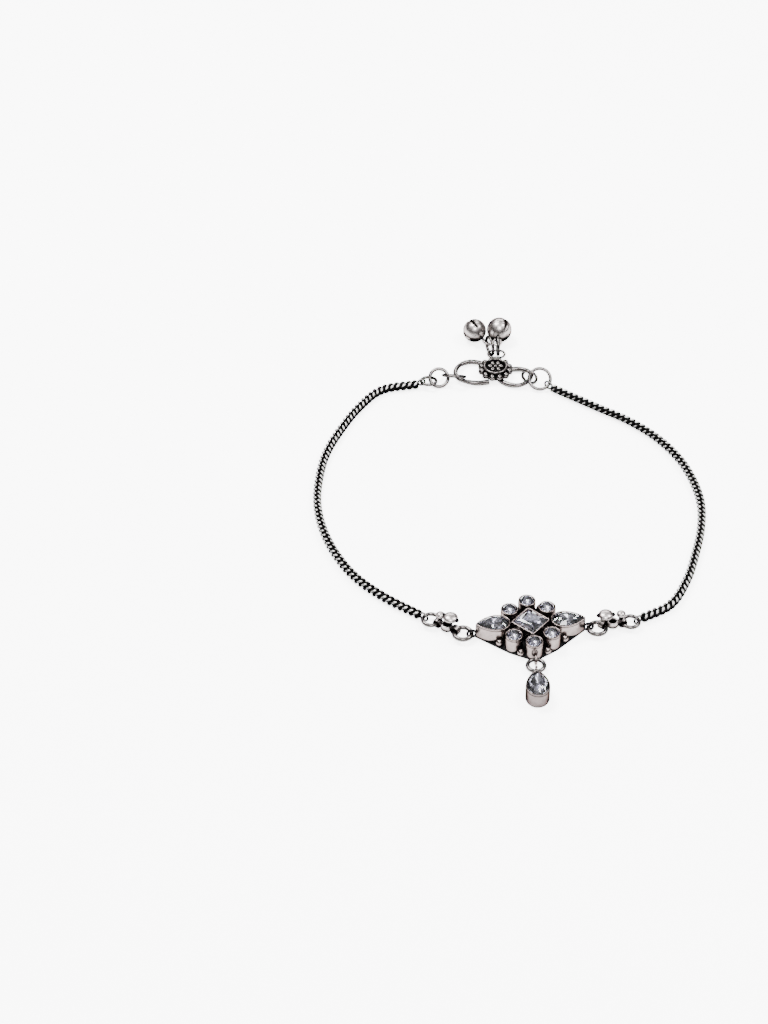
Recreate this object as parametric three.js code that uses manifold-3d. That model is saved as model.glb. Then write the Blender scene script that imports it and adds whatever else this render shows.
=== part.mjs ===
// A silver ankle chain lying flat: two woven strands, a stone-set front ornament with a drop,
// and an S-hook clasp with a beaded rosette and two bells. Millimetres, +Z up, floor at z = 0.
import * as THREE from "three";
import { ConvexGeometry } from "three/addons/geometries/ConvexGeometry.js";
import { mergeVertices } from "three/addons/utils/BufferGeometryUtils.js";
import Module from "manifold-3d";

const wasm = await Module();
wasm.setup();

// Clearances
const STONE_CLEAR = 0.14; // between a stone and its bezel
const LINK_CLEAR = 0.2; // between a wire and the eye that holds it
const LAP = 0.2; // how far soldered pieces run into each other
const FLOOR_CLEAR = 0.02;
const CUT_OVER = 1; // how far a cut runs past the face it opens
const WELD = 1e-4; // vertices closer than this are one

// How finely round shapes are meshed: sides round them, and bands from pole to pole
const WIRE_SIDES = 6;
const RING_SIDES = 14;
const EYE_SIDES = 10;
const NECK_SIDES = 6;
const ARC_STEPS = 6; // over half a turn
const BALL_SIDES = 8;
const BALL_BANDS = 6;
const BUTTON_SIDES = 12;
const BEAD_BANDS = 5;
const PETAL_SIDES = 6;
const PETAL_BANDS = 4;
const ROSETTE_SIDES = 18;
const RIM_SIDES = 12;
const PEAR_SIDES = 16;
const ROUND_SIDES = 12;
const BELL_SIDES = 14;
const ROUTE_STEPS = 400;

// Wire of the small upright eyes
const EYE_WIRE = 0.5;

// Woven strand
const CHAIN_D = 2.1;
const CHAIN_GROOVE = 0.28; // depth of the gaps between the lobes
const CHAIN_PITCH = 1.36; // from one lobe to the next along a row
const CHAIN_ROWS = 4;
const COLUMNS_PER_ROW = 2;
const STATIONS_PER_PITCH = 2;
const CHAIN_EYE_WIRE = 0.45;
const ROW_TURN = 45; // degrees from straight up to the first row's middle
const TWIST_FROM = 42; // the right strand turns a quarter row over this stretch
const TWIST_LENGTH = 32;
const RIGHT_EYE_EXTRA = 0.12; // the right strand's back eye holds its ring aslant

// Chosen points of the strands in plan: left from back to front, right from front to back
const CHAIN_POINTS = {
  left: [
    [-27.6, 40.5], [-32.6, 34.3], [-36.6, 26.4], [-39.6, 18.4], [-41.0, 10.2],
    [-41.3, 1.8], [-40.0, -6.5], [-37.2, -14.5], [-33.0, -21.8], [-27.1, -27.9],
  ],
  right: [
    [31.9, -30.3], [35.9, -22.8], [38.4, -14.6], [40.2, -6.7], [40.9, 1.3],
    [39.8, 9.4], [37.2, 17.0], [32.9, 23.9], [27.2, 29.7], [20.6, 34.4],
  ],
};

// Front ornament
const ORNAMENT_CENTRE = [2.8, -38];
const ORNAMENT_YAW = 5;
const PLATE_T = 0.7;
const CUP_H = 3.2;
const BEZEL_WALL = 0.35;
const SEAT_DEPTH = 1.3; // from the bezel's rim down to the seat of the stone
const SQUARE_REACH = 3.9; // from its centre to a corner
const SQUARE_CORNER = 0.35;
const ROUND_D = 3.6;
const PEAR_L = 7.1;
const PEAR_W = 4.7;
const PEAR_SHARP = 0.7; // 0 is an oval, 1 a long tip
const MIDDLE_GAP = 0.4; // between the square's corner and a middle round
const SIDE_GAP = 0.9; // between the square's edge and a side round
const PEAR_GAP = 0.25;
const GRANULE_D = 1.45;
const INNER_GRANULE = [2.75, 6.35]; // from the ornament's middle
const OUTER_GRANULE = [6.7, 3.1];
const TIP_LOOP_GAP = 0.3; // between a cup and the ring in the loop beside it

// Stones
const GIRDLE = 0.15;
const CROWN = 0.65;
const PAVILION = 0.9;
const TABLE_SHARE = 0.55;

// Rings: mean radius and wire
const LINK_RING = { radius: 1.8, wire: 0.9 };
const FRONT_RING = { radius: 1.7, wire: 0.8 };
const DROP_RING = { radius: 1.7, wire: 0.85 };
const BACK_RING = { radius: 1.7, wire: 0.7 };
const CLASP_RING = { radius: 2.05, wire: 0.8 };
const HOOK_RING = { radius: 2.45, wire: 0.7 };
const WIDE_RING = { radius: 2.4, wire: 0.75 };
const SMALL_RING = { radius: 1.7, wire: 0.65 };
const BELL_RING = { radius: 2.1, wire: 0.7 };

// Directions in plan, in degrees from +X, along which the front links lie
const LINK_RING_TURN = { left: 178, right: -17 };
const LINK_HOLD_TURN = { left: 146, right: 50 };
const BUTTON_LINK_TURN = { left: 148, right: 6 };
const FRONT_RING_TURN = { left: 149, right: 22 };

// Button link
const LINK_LENGTH = 4.1; // from eye to eye
const LINK_WIDTH = 2.2;
const LINK_WALL = 0.4;
const LINK_H = 1.3;
const CURL_WALL = 0.3;
const CURL_WIDTH = 1.2;
const CURL_EXTRA = 0.1; // the straight curl holds a curved wire
const BUTTON_D = 3.1;
const BUTTON_H = 1.5;
const BUTTON_TOP = 4.2;
const BUTTON_AT = { left: [1.5, 0.5], right: [0.6, 0.1] }; // along the link and to its back
const AXLE_D = 0.9; // the rod through the button
const AXLE_L = 3.9;
const KNOB_D = 1.9; // the small head beside the button
const KNOB_H = 1.3;
const KNOB_TOP = 3.8;
const KNOB_AT = [3.8, 0.35];
const NECK_D = 1.1; // under a head

// Drop
const DROP_L = 7.3;
const DROP_W = 4.9;
const DROP_SHARP = 0.5;
const DROP_DEPTH = 3.5;
const DROP_NECK = 1.2; // from the ring to the cup's tip

// Hook and rosette
const HOOK_WIRE = 1.0;
const HOOK_POINTS = [
  [-3.3, 43.9, 0.75], [-5.8, 43.3, 0.9], [-8.4, 43.6, 1.1], [-10.2, 44.6, 1.3], [-10.8, 46.4, 1.3],
  [-10.4, 48.5, 1.2], [-9.2, 50.2, 1.0], [-7.2, 51.2, 0.8], [-4.8, 50.9, 0.6], [-2.6, 48.9, 0.6],
  [-1.5, 46.4, 0.6], [-0.3, 44.2, 0.6], [1.5, 42.9, 0.7], [3.5, 42.5, 0.9], [5.4, 43.5, 1.2],
  [6.3, 45.5, 1.3], [5.7, 47.4, 1.1], [3.9, 48.5, 0.8], [1.2, 48.6, 0.6],
];
const HOOK_STEPS = 36;
const ROSETTE_CENTRE = [-1.75, 47.5];
const ROSETTE_D = 8.0;
const ROSETTE_BEADS = 12;
const ROSETTE_BEAD_D = 1.55;
const ROSETTE_PLATE_T = 0.8;
const ROSETTE_RIM_D = 5.0;
const ROSETTE_RIM_WIRE = 0.5;
const ROSETTE_BOSS_D = 5.4; // the raised middle
const ROSETTE_BOSS_H = 0.9;
const PETALS = 6;
const PETAL_D = 1.3;
const PETAL_H = 0.35;
const PETAL_OUT = 1.24; // from the flower's middle to a petal's
const BUD_D = 0.9;
const BACK_LOOP_X = -1.4;
const BACK_LOOP_HALF = 0.6; // half the straight run between its round ends
const BACK_LOOP_R = 1.3;
const BACK_LOOP_LAP = 0.3; // how far the loop runs into the rosette

// Rings of the clasp: centre, lean of the ring's plane about X, then its turn about Z
const CLASP_PLACES = {
  hook_ring_left: { ring: HOOK_RING, at: [-11.16, 44.69, 1.84], lean: -36.6, turn: -7 },
  clasp_ring_left: { ring: CLASP_RING, at: [-14.57, 44.24, 1.7], lean: 37.5, turn: 0.6 },
  hook_ring_right: { ring: SMALL_RING, at: [5.83, 44.03, 2.06], lean: 93, turn: -24 },
  back_ring_right: { ring: WIDE_RING, at: [8.1, 43.1, 2.26], lean: 38, turn: 0 },
  back_ring_left: { ring: BACK_RING, at: [-16.92, 43.4, 1.4], lean: -7.7, turn: 0.5 },
};

// Where the strands' back eyes hold their rings, in degrees round the ring from its own +X
const BACK_HOLD_TURN = { left: 196, right: -36 };

// Bells
const BELLS = {
  left: { d: 5.3, at: [-6.15, 60.5], ringX: -2.1, turn: 110 },
  right: { d: 5.7, at: [-0.5, 60.5], ringX: -0.9, turn: 92 },
};
const BELL_WALL = 0.5;
const BELL_SLIT = 0.55;
const BELL_SLIT_SPAN = 0.86; // share of the bell's width that a slit runs across
const BELL_SLIT_DROP = 0.3; // share of its width from its middle down to the slits' middle
const BELL_SLIT_TURNS = [45, 135];
const BELL_NECK_R = 0.4;
const BELL_HOLD = 15; // degrees below the ring's far side where the bell's eye holds it
const RING_SHIFT = 0.25; // from the middle of the back loop's hole towards the bells

const UP = new THREE.Vector3(0, 0, 1);
const rad = THREE.MathUtils.degToRad;
const polar = (r, deg) => [r * Math.cos(rad(deg)), r * Math.sin(rad(deg))];

// A closed mesh as a solid that can be joined and cut.
function solid(geometry, matrix) {
  const plain = new THREE.BufferGeometry();
  const source = geometry.index ? geometry.toNonIndexed() : geometry;
  plain.setAttribute("position", source.getAttribute("position").clone());
  if (matrix) plain.applyMatrix4(matrix);
  const merged = mergeVertices(plain, WELD);
  return new wasm.Manifold(
    new wasm.Mesh({
      numProp: 3,
      vertProperties: merged.attributes.position.array,
      triVerts: new Uint32Array(merged.index.array),
    }),
  );
}

function join(solids) {
  return solids.reduce((all, next) => all.add(next));
}

function geometryOf(made) {
  const mesh = made.getMesh();
  const position = new THREE.BufferAttribute(new Float32Array(mesh.vertProperties), 3);
  const geometry = new THREE.BufferGeometry();
  geometry.setAttribute("position", position);
  geometry.setIndex(new THREE.BufferAttribute(new Uint32Array(mesh.triVerts), 1));
  const flat = geometry.toNonIndexed();
  flat.computeVertexNormals();
  return flat;
}

function place(x, y, z, leanX = 0, turnZ = 0, tiltY = 0) {
  const turn = new THREE.Matrix4().makeRotationZ(rad(turnZ));
  const lean = new THREE.Matrix4().makeRotationX(rad(leanX));
  const tilt = new THREE.Matrix4().makeRotationY(rad(tiltY));
  return new THREE.Matrix4().makeTranslation(x, y, z).multiply(turn).multiply(lean).multiply(tilt);
}

// Extrudes a plan outline from z0 up to z1.
function prism(points, z0, z1, matrix) {
  const shape = new THREE.Shape(points.map(([x, y]) => new THREE.Vector2(x, y)));
  const geometry = new THREE.ExtrudeGeometry(shape, { depth: z1 - z0, bevelEnabled: false });
  geometry.translate(0, 0, z0);
  return solid(geometry, matrix);
}

function circle(r, sides, at = [0, 0]) {
  const points = [];
  for (let i = 0; i < sides; i++) {
    const [x, y] = polar(r, (360 * i) / sides);
    points.push([at[0] + x, at[1] + y]);
  }
  return points;
}

function torus(radius, wire, matrix, sides = RING_SIDES) {
  return solid(new THREE.TorusGeometry(radius, wire / 2, WIRE_SIDES, sides), matrix);
}

function ball(d, matrix, across = BALL_SIDES, bands = BALL_BANDS) {
  return solid(new THREE.SphereGeometry(d / 2, across, bands), matrix);
}

// The point at an angle from straight up and a distance round a frame.
function around(f, angle, r) {
  const out = f.up.clone().multiplyScalar(Math.cos(angle)).addScaledVector(f.side, Math.sin(angle));
  return out.multiplyScalar(r).add(f.point);
}

function ringsOf(frames, sides, r) {
  const at = [];
  for (const f of frames) {
    for (let i = 0; i < sides; i++) at.push(around(f, (2 * Math.PI * i) / sides, r));
  }
  return at;
}

// Sweeps a round wire along a path of frames and closes both ends.
function sweep(frames, sides, r) {
  const at = ringsOf(frames, sides, r);
  const index = [];
  for (let j = 0; j + 1 < frames.length; j++) {
    for (let i = 0; i < sides; i++) {
      const k = (i + 1) % sides;
      const a = j * sides + i;
      const b = j * sides + k;
      index.push(a, a + sides, b, b, a + sides, b + sides);
    }
  }
  const last = (frames.length - 1) * sides;
  for (let i = 1; i + 1 < sides; i++) {
    index.push(0, i, i + 1);
    index.push(last, last + i + 1, last + i);
  }
  return facing(at, index);
}

// A solid from points and triangles, turned to face out whichever way it was wound.
function facing(at, index) {
  const geometry = new THREE.BufferGeometry().setFromPoints(at);
  geometry.setIndex(index);
  const made = solid(geometry);
  if (made.volume() > 0) return made;
  const turned = [];
  for (let i = 0; i < index.length; i += 3) turned.push(index[i], index[i + 2], index[i + 1]);
  geometry.setIndex(turned);
  return solid(geometry);
}

function frameAt(curve, s, length) {
  const inside = Math.min(Math.max(s / length, 0), 1);
  const tangent = curve.getTangentAt(inside);
  const point = curve.getPointAt(inside).addScaledVector(tangent, s - inside * length);
  const side = new THREE.Vector3().crossVectors(tangent, UP).normalize();
  const up = new THREE.Vector3().crossVectors(side, tangent).normalize();
  return { point, tangent, side, up };
}

function wireAlong(points, wire, steps) {
  const through = points.map((p) => new THREE.Vector3(...p));
  const curve = new THREE.CatmullRomCurve3(through, false, "centripetal");
  const length = curve.getLength();
  const frames = [];
  for (let j = 0; j <= steps; j++) frames.push(frameAt(curve, (length * j) / steps, length));
  return sweep(frames, WIRE_SIDES, wire / 2);
}

// Pear outline with its tip on +X, centred on its length.
function pear(length, width, inset = 0, sharp = PEAR_SHARP, sides = PEAR_SIDES) {
  const raw = [];
  for (let i = 0; i < sides; i++) {
    const t = (2 * Math.PI * i) / sides;
    const taper = Math.pow(Math.abs(Math.sin(t / 2)), sharp);
    raw.push([Math.cos(t), Math.sin(t) * taper]);
  }
  const widest = Math.max(...raw.map((p) => p[1]));
  const alongHalf = length / 2 - inset;
  const acrossHalf = width / 2 - inset;
  return raw.map(([x, y]) => [x * alongHalf, (y / widest) * acrossHalf]);
}

// A square standing on its corner, with small cut corners.
function diamond(reach, inset = 0) {
  const far = reach - inset * Math.SQRT2;
  const cut = SQUARE_CORNER;
  const points = [];
  for (let i = 0; i < 4; i++) {
    const out = polar(1, 90 * i);
    const across = polar(1, 90 * i + 90);
    for (const sign of [-1, 1]) {
      points.push([
        out[0] * (far - cut / 2) + (sign * across[0] * cut) / 2,
        out[1] * (far - cut / 2) + (sign * across[1] * cut) / 2,
      ]);
    }
  }
  return points;
}

const OUTLINES = {
  square: (inset) => diamond(SQUARE_REACH, inset),
  round: (inset) => circle(ROUND_D / 2 - inset, ROUND_SIDES),
  pear: (inset) => pear(PEAR_L, PEAR_W, inset),
  drop: (inset) => pear(DROP_L, DROP_W, inset, DROP_SHARP),
};

// A bezel cup from z0 to its rim, open above down to the stone's seat.
function cup(kind, z0, rim, matrix) {
  const outer = prism(OUTLINES[kind](0), z0, rim, matrix);
  const hollow = prism(OUTLINES[kind](BEZEL_WALL), rim - SEAT_DEPTH, rim + CUT_OVER, matrix);
  return outer.subtract(hollow);
}

// A cut stone: table, crown facets, girdle and pavilion facets down to a culet.
function cutStone(kind, rim, matrix) {
  const edge = OUTLINES[kind](BEZEL_WALL + STONE_CLEAR);
  const n = edge.length;
  const top = rim + CROWN;
  const at = [];
  const half = (i) => {
    const [a, b] = [edge[i], edge[(i + 1) % n]];
    return [((a[0] + b[0]) / 2) * TABLE_SHARE, ((a[1] + b[1]) / 2) * TABLE_SHARE];
  };
  for (let i = 0; i < n; i++) at.push(new THREE.Vector3(...half(i), top));
  for (let i = 0; i < n; i++) at.push(new THREE.Vector3(...edge[i], rim));
  for (let i = 0; i < n; i++) at.push(new THREE.Vector3(...edge[i], rim - GIRDLE));
  const culet = at.push(new THREE.Vector3(0, 0, rim - GIRDLE - PAVILION)) - 1;
  const index = [];
  for (let i = 1; i + 1 < n; i++) index.push(0, i, i + 1);
  for (let i = 0; i < n; i++) {
    const k = (i + 1) % n;
    index.push(n + i, n + k, i);
    index.push(i, n + k, k);
    index.push(n + i, 2 * n + i, n + k);
    index.push(n + k, 2 * n + i, 2 * n + k);
    index.push(2 * n + i, culet, 2 * n + k);
  }
  const geometry = new THREE.BufferGeometry().setFromPoints(at);
  geometry.setIndex(index);
  return solid(geometry, matrix);
}

const root = new THREE.Group();
const LOOKS = {
  silver: { color: 0xc9c2bd, metalness: 0.9, roughness: 0.3 },
  dark: { color: 0x6c6864, metalness: 0.85, roughness: 0.4 },
  stone: { color: 0xd6d8ea, metalness: 0.0, roughness: 0.05 },
};

function add(name, made, look) {
  const material = new THREE.MeshStandardMaterial(LOOKS[look]);
  material.name = name + "_finish";
  const mesh = new THREE.Mesh(geometryOf(made), material);
  mesh.name = name;
  root.add(mesh);
}

// The ornament's frame
const ornamentFrame = place(...ORNAMENT_CENTRE, 0, 0, ORNAMENT_YAW);
const inOrnament = (x, y, z, ...turns) => ornamentFrame.clone().multiply(place(x, y, z, ...turns));
const CUP_RIM = PLATE_T + CUP_H;
const pearX = SQUARE_REACH + PEAR_GAP + PEAR_L / 2;
const middleY = SQUARE_REACH + MIDDLE_GAP + ROUND_D / 2;
const sideXY = SQUARE_REACH / 2 + (SIDE_GAP + ROUND_D / 2) / Math.SQRT2;
const tipX = pearX + PEAR_L / 2;
const EYE_HOLE = LINK_RING.wire / 2 + LINK_CLEAR;
const EYE_RADIUS = EYE_HOLE + EYE_WIRE / 2;
const WIRE_Z = EYE_RADIUS + EYE_WIRE / 2 + FLOOR_CLEAR; // height of the wires that lie in the eyes
const tipLoopX = tipX + TIP_LOOP_GAP + LINK_RING.wire / 2;
const frontLoopY = middleY + ROUND_D / 2 + TIP_LOOP_GAP + DROP_RING.wire / 2;

const SETTINGS = [
  { stone: "stone_centre", kind: "square", x: 0, y: 0, turn: 0 },
  { stone: "stone_pear_left", kind: "pear", x: -pearX, y: 0, turn: 180 },
  { stone: "stone_pear_right", kind: "pear", x: pearX, y: 0, turn: 0 },
  { stone: "stone_round_front_middle", kind: "round", x: 0, y: -middleY, turn: 0 },
  { stone: "stone_round_back_middle", kind: "round", x: 0, y: middleY, turn: 0 },
  { stone: "stone_round_front_left", kind: "round", x: -sideXY, y: -sideXY, turn: 0 },
  { stone: "stone_round_front_right", kind: "round", x: sideXY, y: -sideXY, turn: 0 },
  { stone: "stone_round_back_left", kind: "round", x: -sideXY, y: sideXY, turn: 0 },
  { stone: "stone_round_back_right", kind: "round", x: sideXY, y: sideXY, turn: 0 },
];

// The base plate hugs the outer cups.
function basePlate() {
  const plan = [[-tipX, 0], [tipX, 0]];
  for (const s of SETTINGS) {
    if (s.kind === "round") plan.push(...circle(ROUND_D / 2, ROUND_SIDES, [s.x, s.y]));
  }
  const points = [0, PLATE_T].flatMap((z) => plan.map(([x, y]) => new THREE.Vector3(x, y, z)));
  return solid(new ConvexGeometry(points), ornamentFrame);
}

// An upright eye: its hole faces along Y when turn is 0.
function eye(matrix, holeRadius = EYE_HOLE, wire = EYE_WIRE) {
  const upright = matrix.clone().multiply(place(0, 0, 0, 90));
  return torus(holeRadius + wire / 2, wire, upright, EYE_SIDES);
}

function ornamentSetting() {
  const made = [basePlate()];
  for (const s of SETTINGS) {
    made.push(cup(s.kind, PLATE_T - LAP, CUP_RIM, inOrnament(s.x, s.y, 0, 0, s.turn)));
  }
  for (const [gx, gy] of [INNER_GRANULE, OUTER_GRANULE]) {
    for (const sx of [-1, 1]) {
      for (const sy of [-1, 1]) {
        made.push(ball(GRANULE_D, inOrnament(sx * gx, sy * gy, PLATE_T + GRANULE_D / 2 - LAP)));
      }
    }
  }
  for (const side of [-1, 1]) made.push(eye(inOrnament(side * tipLoopX, 0, WIRE_Z)));
  made.push(eye(inOrnament(0, -frontLoopY, WIRE_Z, 0, 90)));
  return join(made);
}

add("ornament_setting", ornamentSetting(), "silver");
for (const s of SETTINGS) {
  add(s.stone, cutStone(s.kind, CUP_RIM, inOrnament(s.x, s.y, 0, 0, s.turn)), "stone");
}

// Adds a plan step of a length and direction to a point.
function step(from, length, turn) {
  const [x, y] = polar(length, turn);
  return [from[0] + x, from[1] + y, WIRE_Z];
}

function worldOf(matrix) {
  return new THREE.Vector3().setFromMatrixPosition(matrix).toArray();
}

// Button link: a ribbon loop, a curl at each end round its ring, and a domed button on a neck.
const LINK_HOLE = LINK_RING.wire / 2 + LINK_CLEAR + CURL_EXTRA;
const FRONT_HOLE = FRONT_RING.wire / 2 + LINK_CLEAR + CURL_EXTRA;

function curl(x, hole, matrix) {
  const upright = matrix.clone().multiply(place(x, CURL_WIDTH / 2, 0, 90));
  const tube = prism(circle(hole + CURL_WALL, EYE_SIDES), 0, CURL_WIDTH, upright);
  const bore = prism(circle(hole, EYE_SIDES), -CUT_OVER, CURL_WIDTH + CUT_OVER, upright);
  return { tube, bore };
}

// Half a circle of points about a middle, from an angle on.
function halfCircle(x, y, r, from) {
  const points = [];
  for (let i = 0; i <= ARC_STEPS; i++) {
    const [dx, dy] = polar(r, from + (180 * i) / ARC_STEPS);
    points.push([x + dx, y + dy]);
  }
  return points;
}

function stadium(x0, x1, r) {
  return [...halfCircle(x1 - r, 0, r, -90), ...halfCircle(x0 + r, 0, r, 90)];
}

// A domed head on a neck that stands on the link.
function head(d, h, top, at, matrix) {
  const middle = top - WIRE_Z - h / 2;
  const neck = prism(circle(NECK_D / 2, NECK_SIDES, at), 0, middle, matrix);
  const flattened = matrix.clone().multiply(place(...at, middle)).scale(new THREE.Vector3(1, 1, h / d));
  return neck.add(ball(d, flattened, BUTTON_SIDES));
}

function buttonLink(start, holdTurn, turn, back, buttonAt) {
  const here = place(...start, 0, turn);
  const near = curl(0, LINK_HOLE, place(...start, 0, holdTurn));
  const far = curl(LINK_LENGTH, FRONT_HOLE, here);
  const x0 = LINK_HOLE + CURL_WALL - LAP;
  const x1 = LINK_LENGTH - FRONT_HOLE - CURL_WALL + LAP;
  const z0 = -LINK_H / 2;
  const r = LINK_WIDTH / 2;
  const band = prism(stadium(x0, x1, r), z0, z0 + LINK_H, here);
  const inside = stadium(x0 + LINK_WALL, x1 - LINK_WALL, r - LINK_WALL);
  const slot = prism(inside, z0 - CUT_OVER, z0 + LINK_H + CUT_OVER, here);
  const button = head(BUTTON_D, BUTTON_H, BUTTON_TOP, [buttonAt[0], back * buttonAt[1]], here);
  const knob = head(KNOB_D, KNOB_H, KNOB_TOP, [KNOB_AT[0], back * KNOB_AT[1]], here);
  const axleZ = BUTTON_TOP - WIRE_Z - BUTTON_H / 2;
  const axleX = buttonAt[0] - AXLE_L / 2;
  const axleAt = here.clone().multiply(place(axleX, back * buttonAt[1], axleZ, 0, 0, 90));
  const axle = prism(circle(AXLE_D / 2, NECK_SIDES), 0, AXLE_L, axleAt);
  const bent = join([band.subtract(slot), near.tube, far.tube, button, knob, axle]);
  return bent.subtract(near.bore).subtract(far.bore);
}

const chainStart = {};
for (const [side, sign] of [["left", -1], ["right", 1]]) {
  const loop = worldOf(inOrnament(sign * tipLoopX, 0, 0));
  const linkRing = step(loop, LINK_RING.radius, LINK_RING_TURN[side]);
  add("link_ring_" + side, torus(LINK_RING.radius, LINK_RING.wire, place(...linkRing)), "silver");
  const turn = BUTTON_LINK_TURN[side];
  const holdTurn = LINK_HOLD_TURN[side];
  const nearEye = step(linkRing, LINK_RING.radius, holdTurn);
  add("button_link_" + side, buttonLink(nearEye, holdTurn, turn, sign, BUTTON_AT[side]), "silver");
  const farEye = step(nearEye, LINK_LENGTH, turn);
  const frontRing = step(farEye, FRONT_RING.radius, turn);
  add("front_ring_" + side, torus(FRONT_RING.radius, FRONT_RING.wire, place(...frontRing)), "silver");
  chainStart[side] = step(frontRing, FRONT_RING.radius, FRONT_RING_TURN[side]);
}

// Drop: a deep cup, its tip to the ornament, held by the flat ring.
const frontLoop = worldOf(inOrnament(0, -frontLoopY, 0));
const dropRing = step(frontLoop, DROP_RING.radius, -90);
add("drop_jump_ring", torus(DROP_RING.radius, DROP_RING.wire, place(...dropRing)), "silver");
const dropEye = step(dropRing, DROP_RING.radius, -90);
const dropCupX = TIP_LOOP_GAP + DROP_RING.wire / 2 + DROP_NECK;
const dropFrame = place(...dropEye, 0, -90, 0);
const dropPlace = dropFrame.clone().multiply(place(dropCupX + DROP_L / 2, 0, 0, 0, 180));
const dropSink = WIRE_Z - FLOOR_CLEAR;
const dropRim = DROP_DEPTH - dropSink;
const dropNeckX = EYE_HOLE + EYE_WIRE / 2;
const dropNeckAt = dropFrame.clone().multiply(place(dropNeckX, 0, 0, 0, 0, 90));
const dropNeckLength = dropCupX + BEZEL_WALL - dropNeckX;
const dropNeck = prism(circle(EYE_WIRE, NECK_SIDES), 0, dropNeckLength, dropNeckAt);
add(
  "drop_setting",
  join([cup("drop", -dropSink, dropRim, dropPlace), eye(dropFrame), dropNeck]),
  "silver",
);
add("stone_drop", cutStone("drop", dropRim, dropPlace), "stone");

// Hook with its soldered rosette.
function rosette() {
  const z0 = HOOK_WIRE - LAP;
  const here = place(...ROSETTE_CENTRE, z0);
  const beadRing = ROSETTE_D / 2 - ROSETTE_BEAD_D / 2;
  const bossTop = ROSETTE_PLATE_T + ROSETTE_BOSS_H;
  const boss = prism(circle(ROSETTE_BOSS_D / 2, ROSETTE_SIDES), 0, bossTop, here);
  const made = [prism(circle(beadRing, ROSETTE_SIDES), 0, ROSETTE_PLATE_T, here), boss];
  for (let i = 0; i < ROSETTE_BEADS; i++) {
    const [x, y] = polar(beadRing, (360 * (i + 0.5)) / ROSETTE_BEADS);
    const beadAt = here.clone().multiply(place(x, y, ROSETTE_PLATE_T));
    made.push(ball(ROSETTE_BEAD_D, beadAt, BALL_SIDES, BEAD_BANDS));
  }
  const rimAt = here.clone().multiply(place(0, 0, bossTop));
  made.push(torus(ROSETTE_RIM_D / 2, ROSETTE_RIM_WIRE, rimAt, RIM_SIDES));
  const flower = [{ d: BUD_D, at: [0, 0] }];
  for (let i = 0; i < PETALS; i++) {
    flower.push({ d: PETAL_D, at: polar(PETAL_OUT, (360 * i) / PETALS) });
  }
  for (const { d, at } of flower) {
    const flat = here.clone().multiply(place(...at, bossTop));
    flat.scale(new THREE.Vector3(1, 1, (2 * PETAL_H) / PETAL_D));
    made.push(ball(d, flat, PETAL_SIDES, PETAL_BANDS));
  }
  return join(made);
}

// The long loop behind the rosette, which holds the rings of the bells.
const backLoopY = ROSETTE_CENTRE[1] + ROSETTE_D / 2 + BACK_LOOP_R + EYE_WIRE / 2 - BACK_LOOP_LAP;

function backLoop() {
  const z = HOOK_WIRE - LAP + ROSETTE_PLATE_T + EYE_WIRE / 2;
  const points = [
    ...halfCircle(BACK_LOOP_X + BACK_LOOP_HALF, backLoopY, BACK_LOOP_R, -90),
    ...halfCircle(BACK_LOOP_X - BACK_LOOP_HALF, backLoopY, BACK_LOOP_R, 90),
  ];
  const outline = points.map(([x, y]) => new THREE.Vector3(x, y, z));
  const n = outline.length;
  const frames = outline.map((point, i) => {
    const tangent = outline[(i + 1) % n].clone().sub(outline[(i + n - 1) % n]).normalize();
    return { point, side: new THREE.Vector3().crossVectors(tangent, UP).normalize(), up: UP };
  });
  return ringSweep(frames, WIRE_SIDES, EYE_WIRE / 2);
}

// Sweeps a round wire round a closed path of frames.
function ringSweep(frames, sides, r) {
  const at = ringsOf(frames, sides, r);
  const index = [];
  const n = frames.length;
  for (let j = 0; j < n; j++) {
    const m = (j + 1) % n;
    for (let i = 0; i < sides; i++) {
      const k = (i + 1) % sides;
      index.push(j * sides + i, m * sides + i, j * sides + k);
      index.push(j * sides + k, m * sides + i, m * sides + k);
    }
  }
  return facing(at, index);
}

const hook = wireAlong(HOOK_POINTS, HOOK_WIRE, HOOK_STEPS);
add("hook_clasp", join([hook, rosette(), backLoop()]), "silver");

for (const [name, p] of Object.entries(CLASP_PLACES)) {
  add(name, torus(p.ring.radius, p.ring.wire, place(...p.at, p.lean, p.turn)), "silver");
}

// Bells stand on the floor, each with an eye on its ring.
const BELL_RING_Z = BELL_RING.radius + BELL_RING.wire / 2 + FLOOR_CLEAR;

function bellRingCentre(b) {
  const [x, y] = polar(BELL_RING.radius, b.turn);
  return new THREE.Vector3(b.ringX + x, backLoopY + RING_SHIFT + y, BELL_RING_Z);
}

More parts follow.
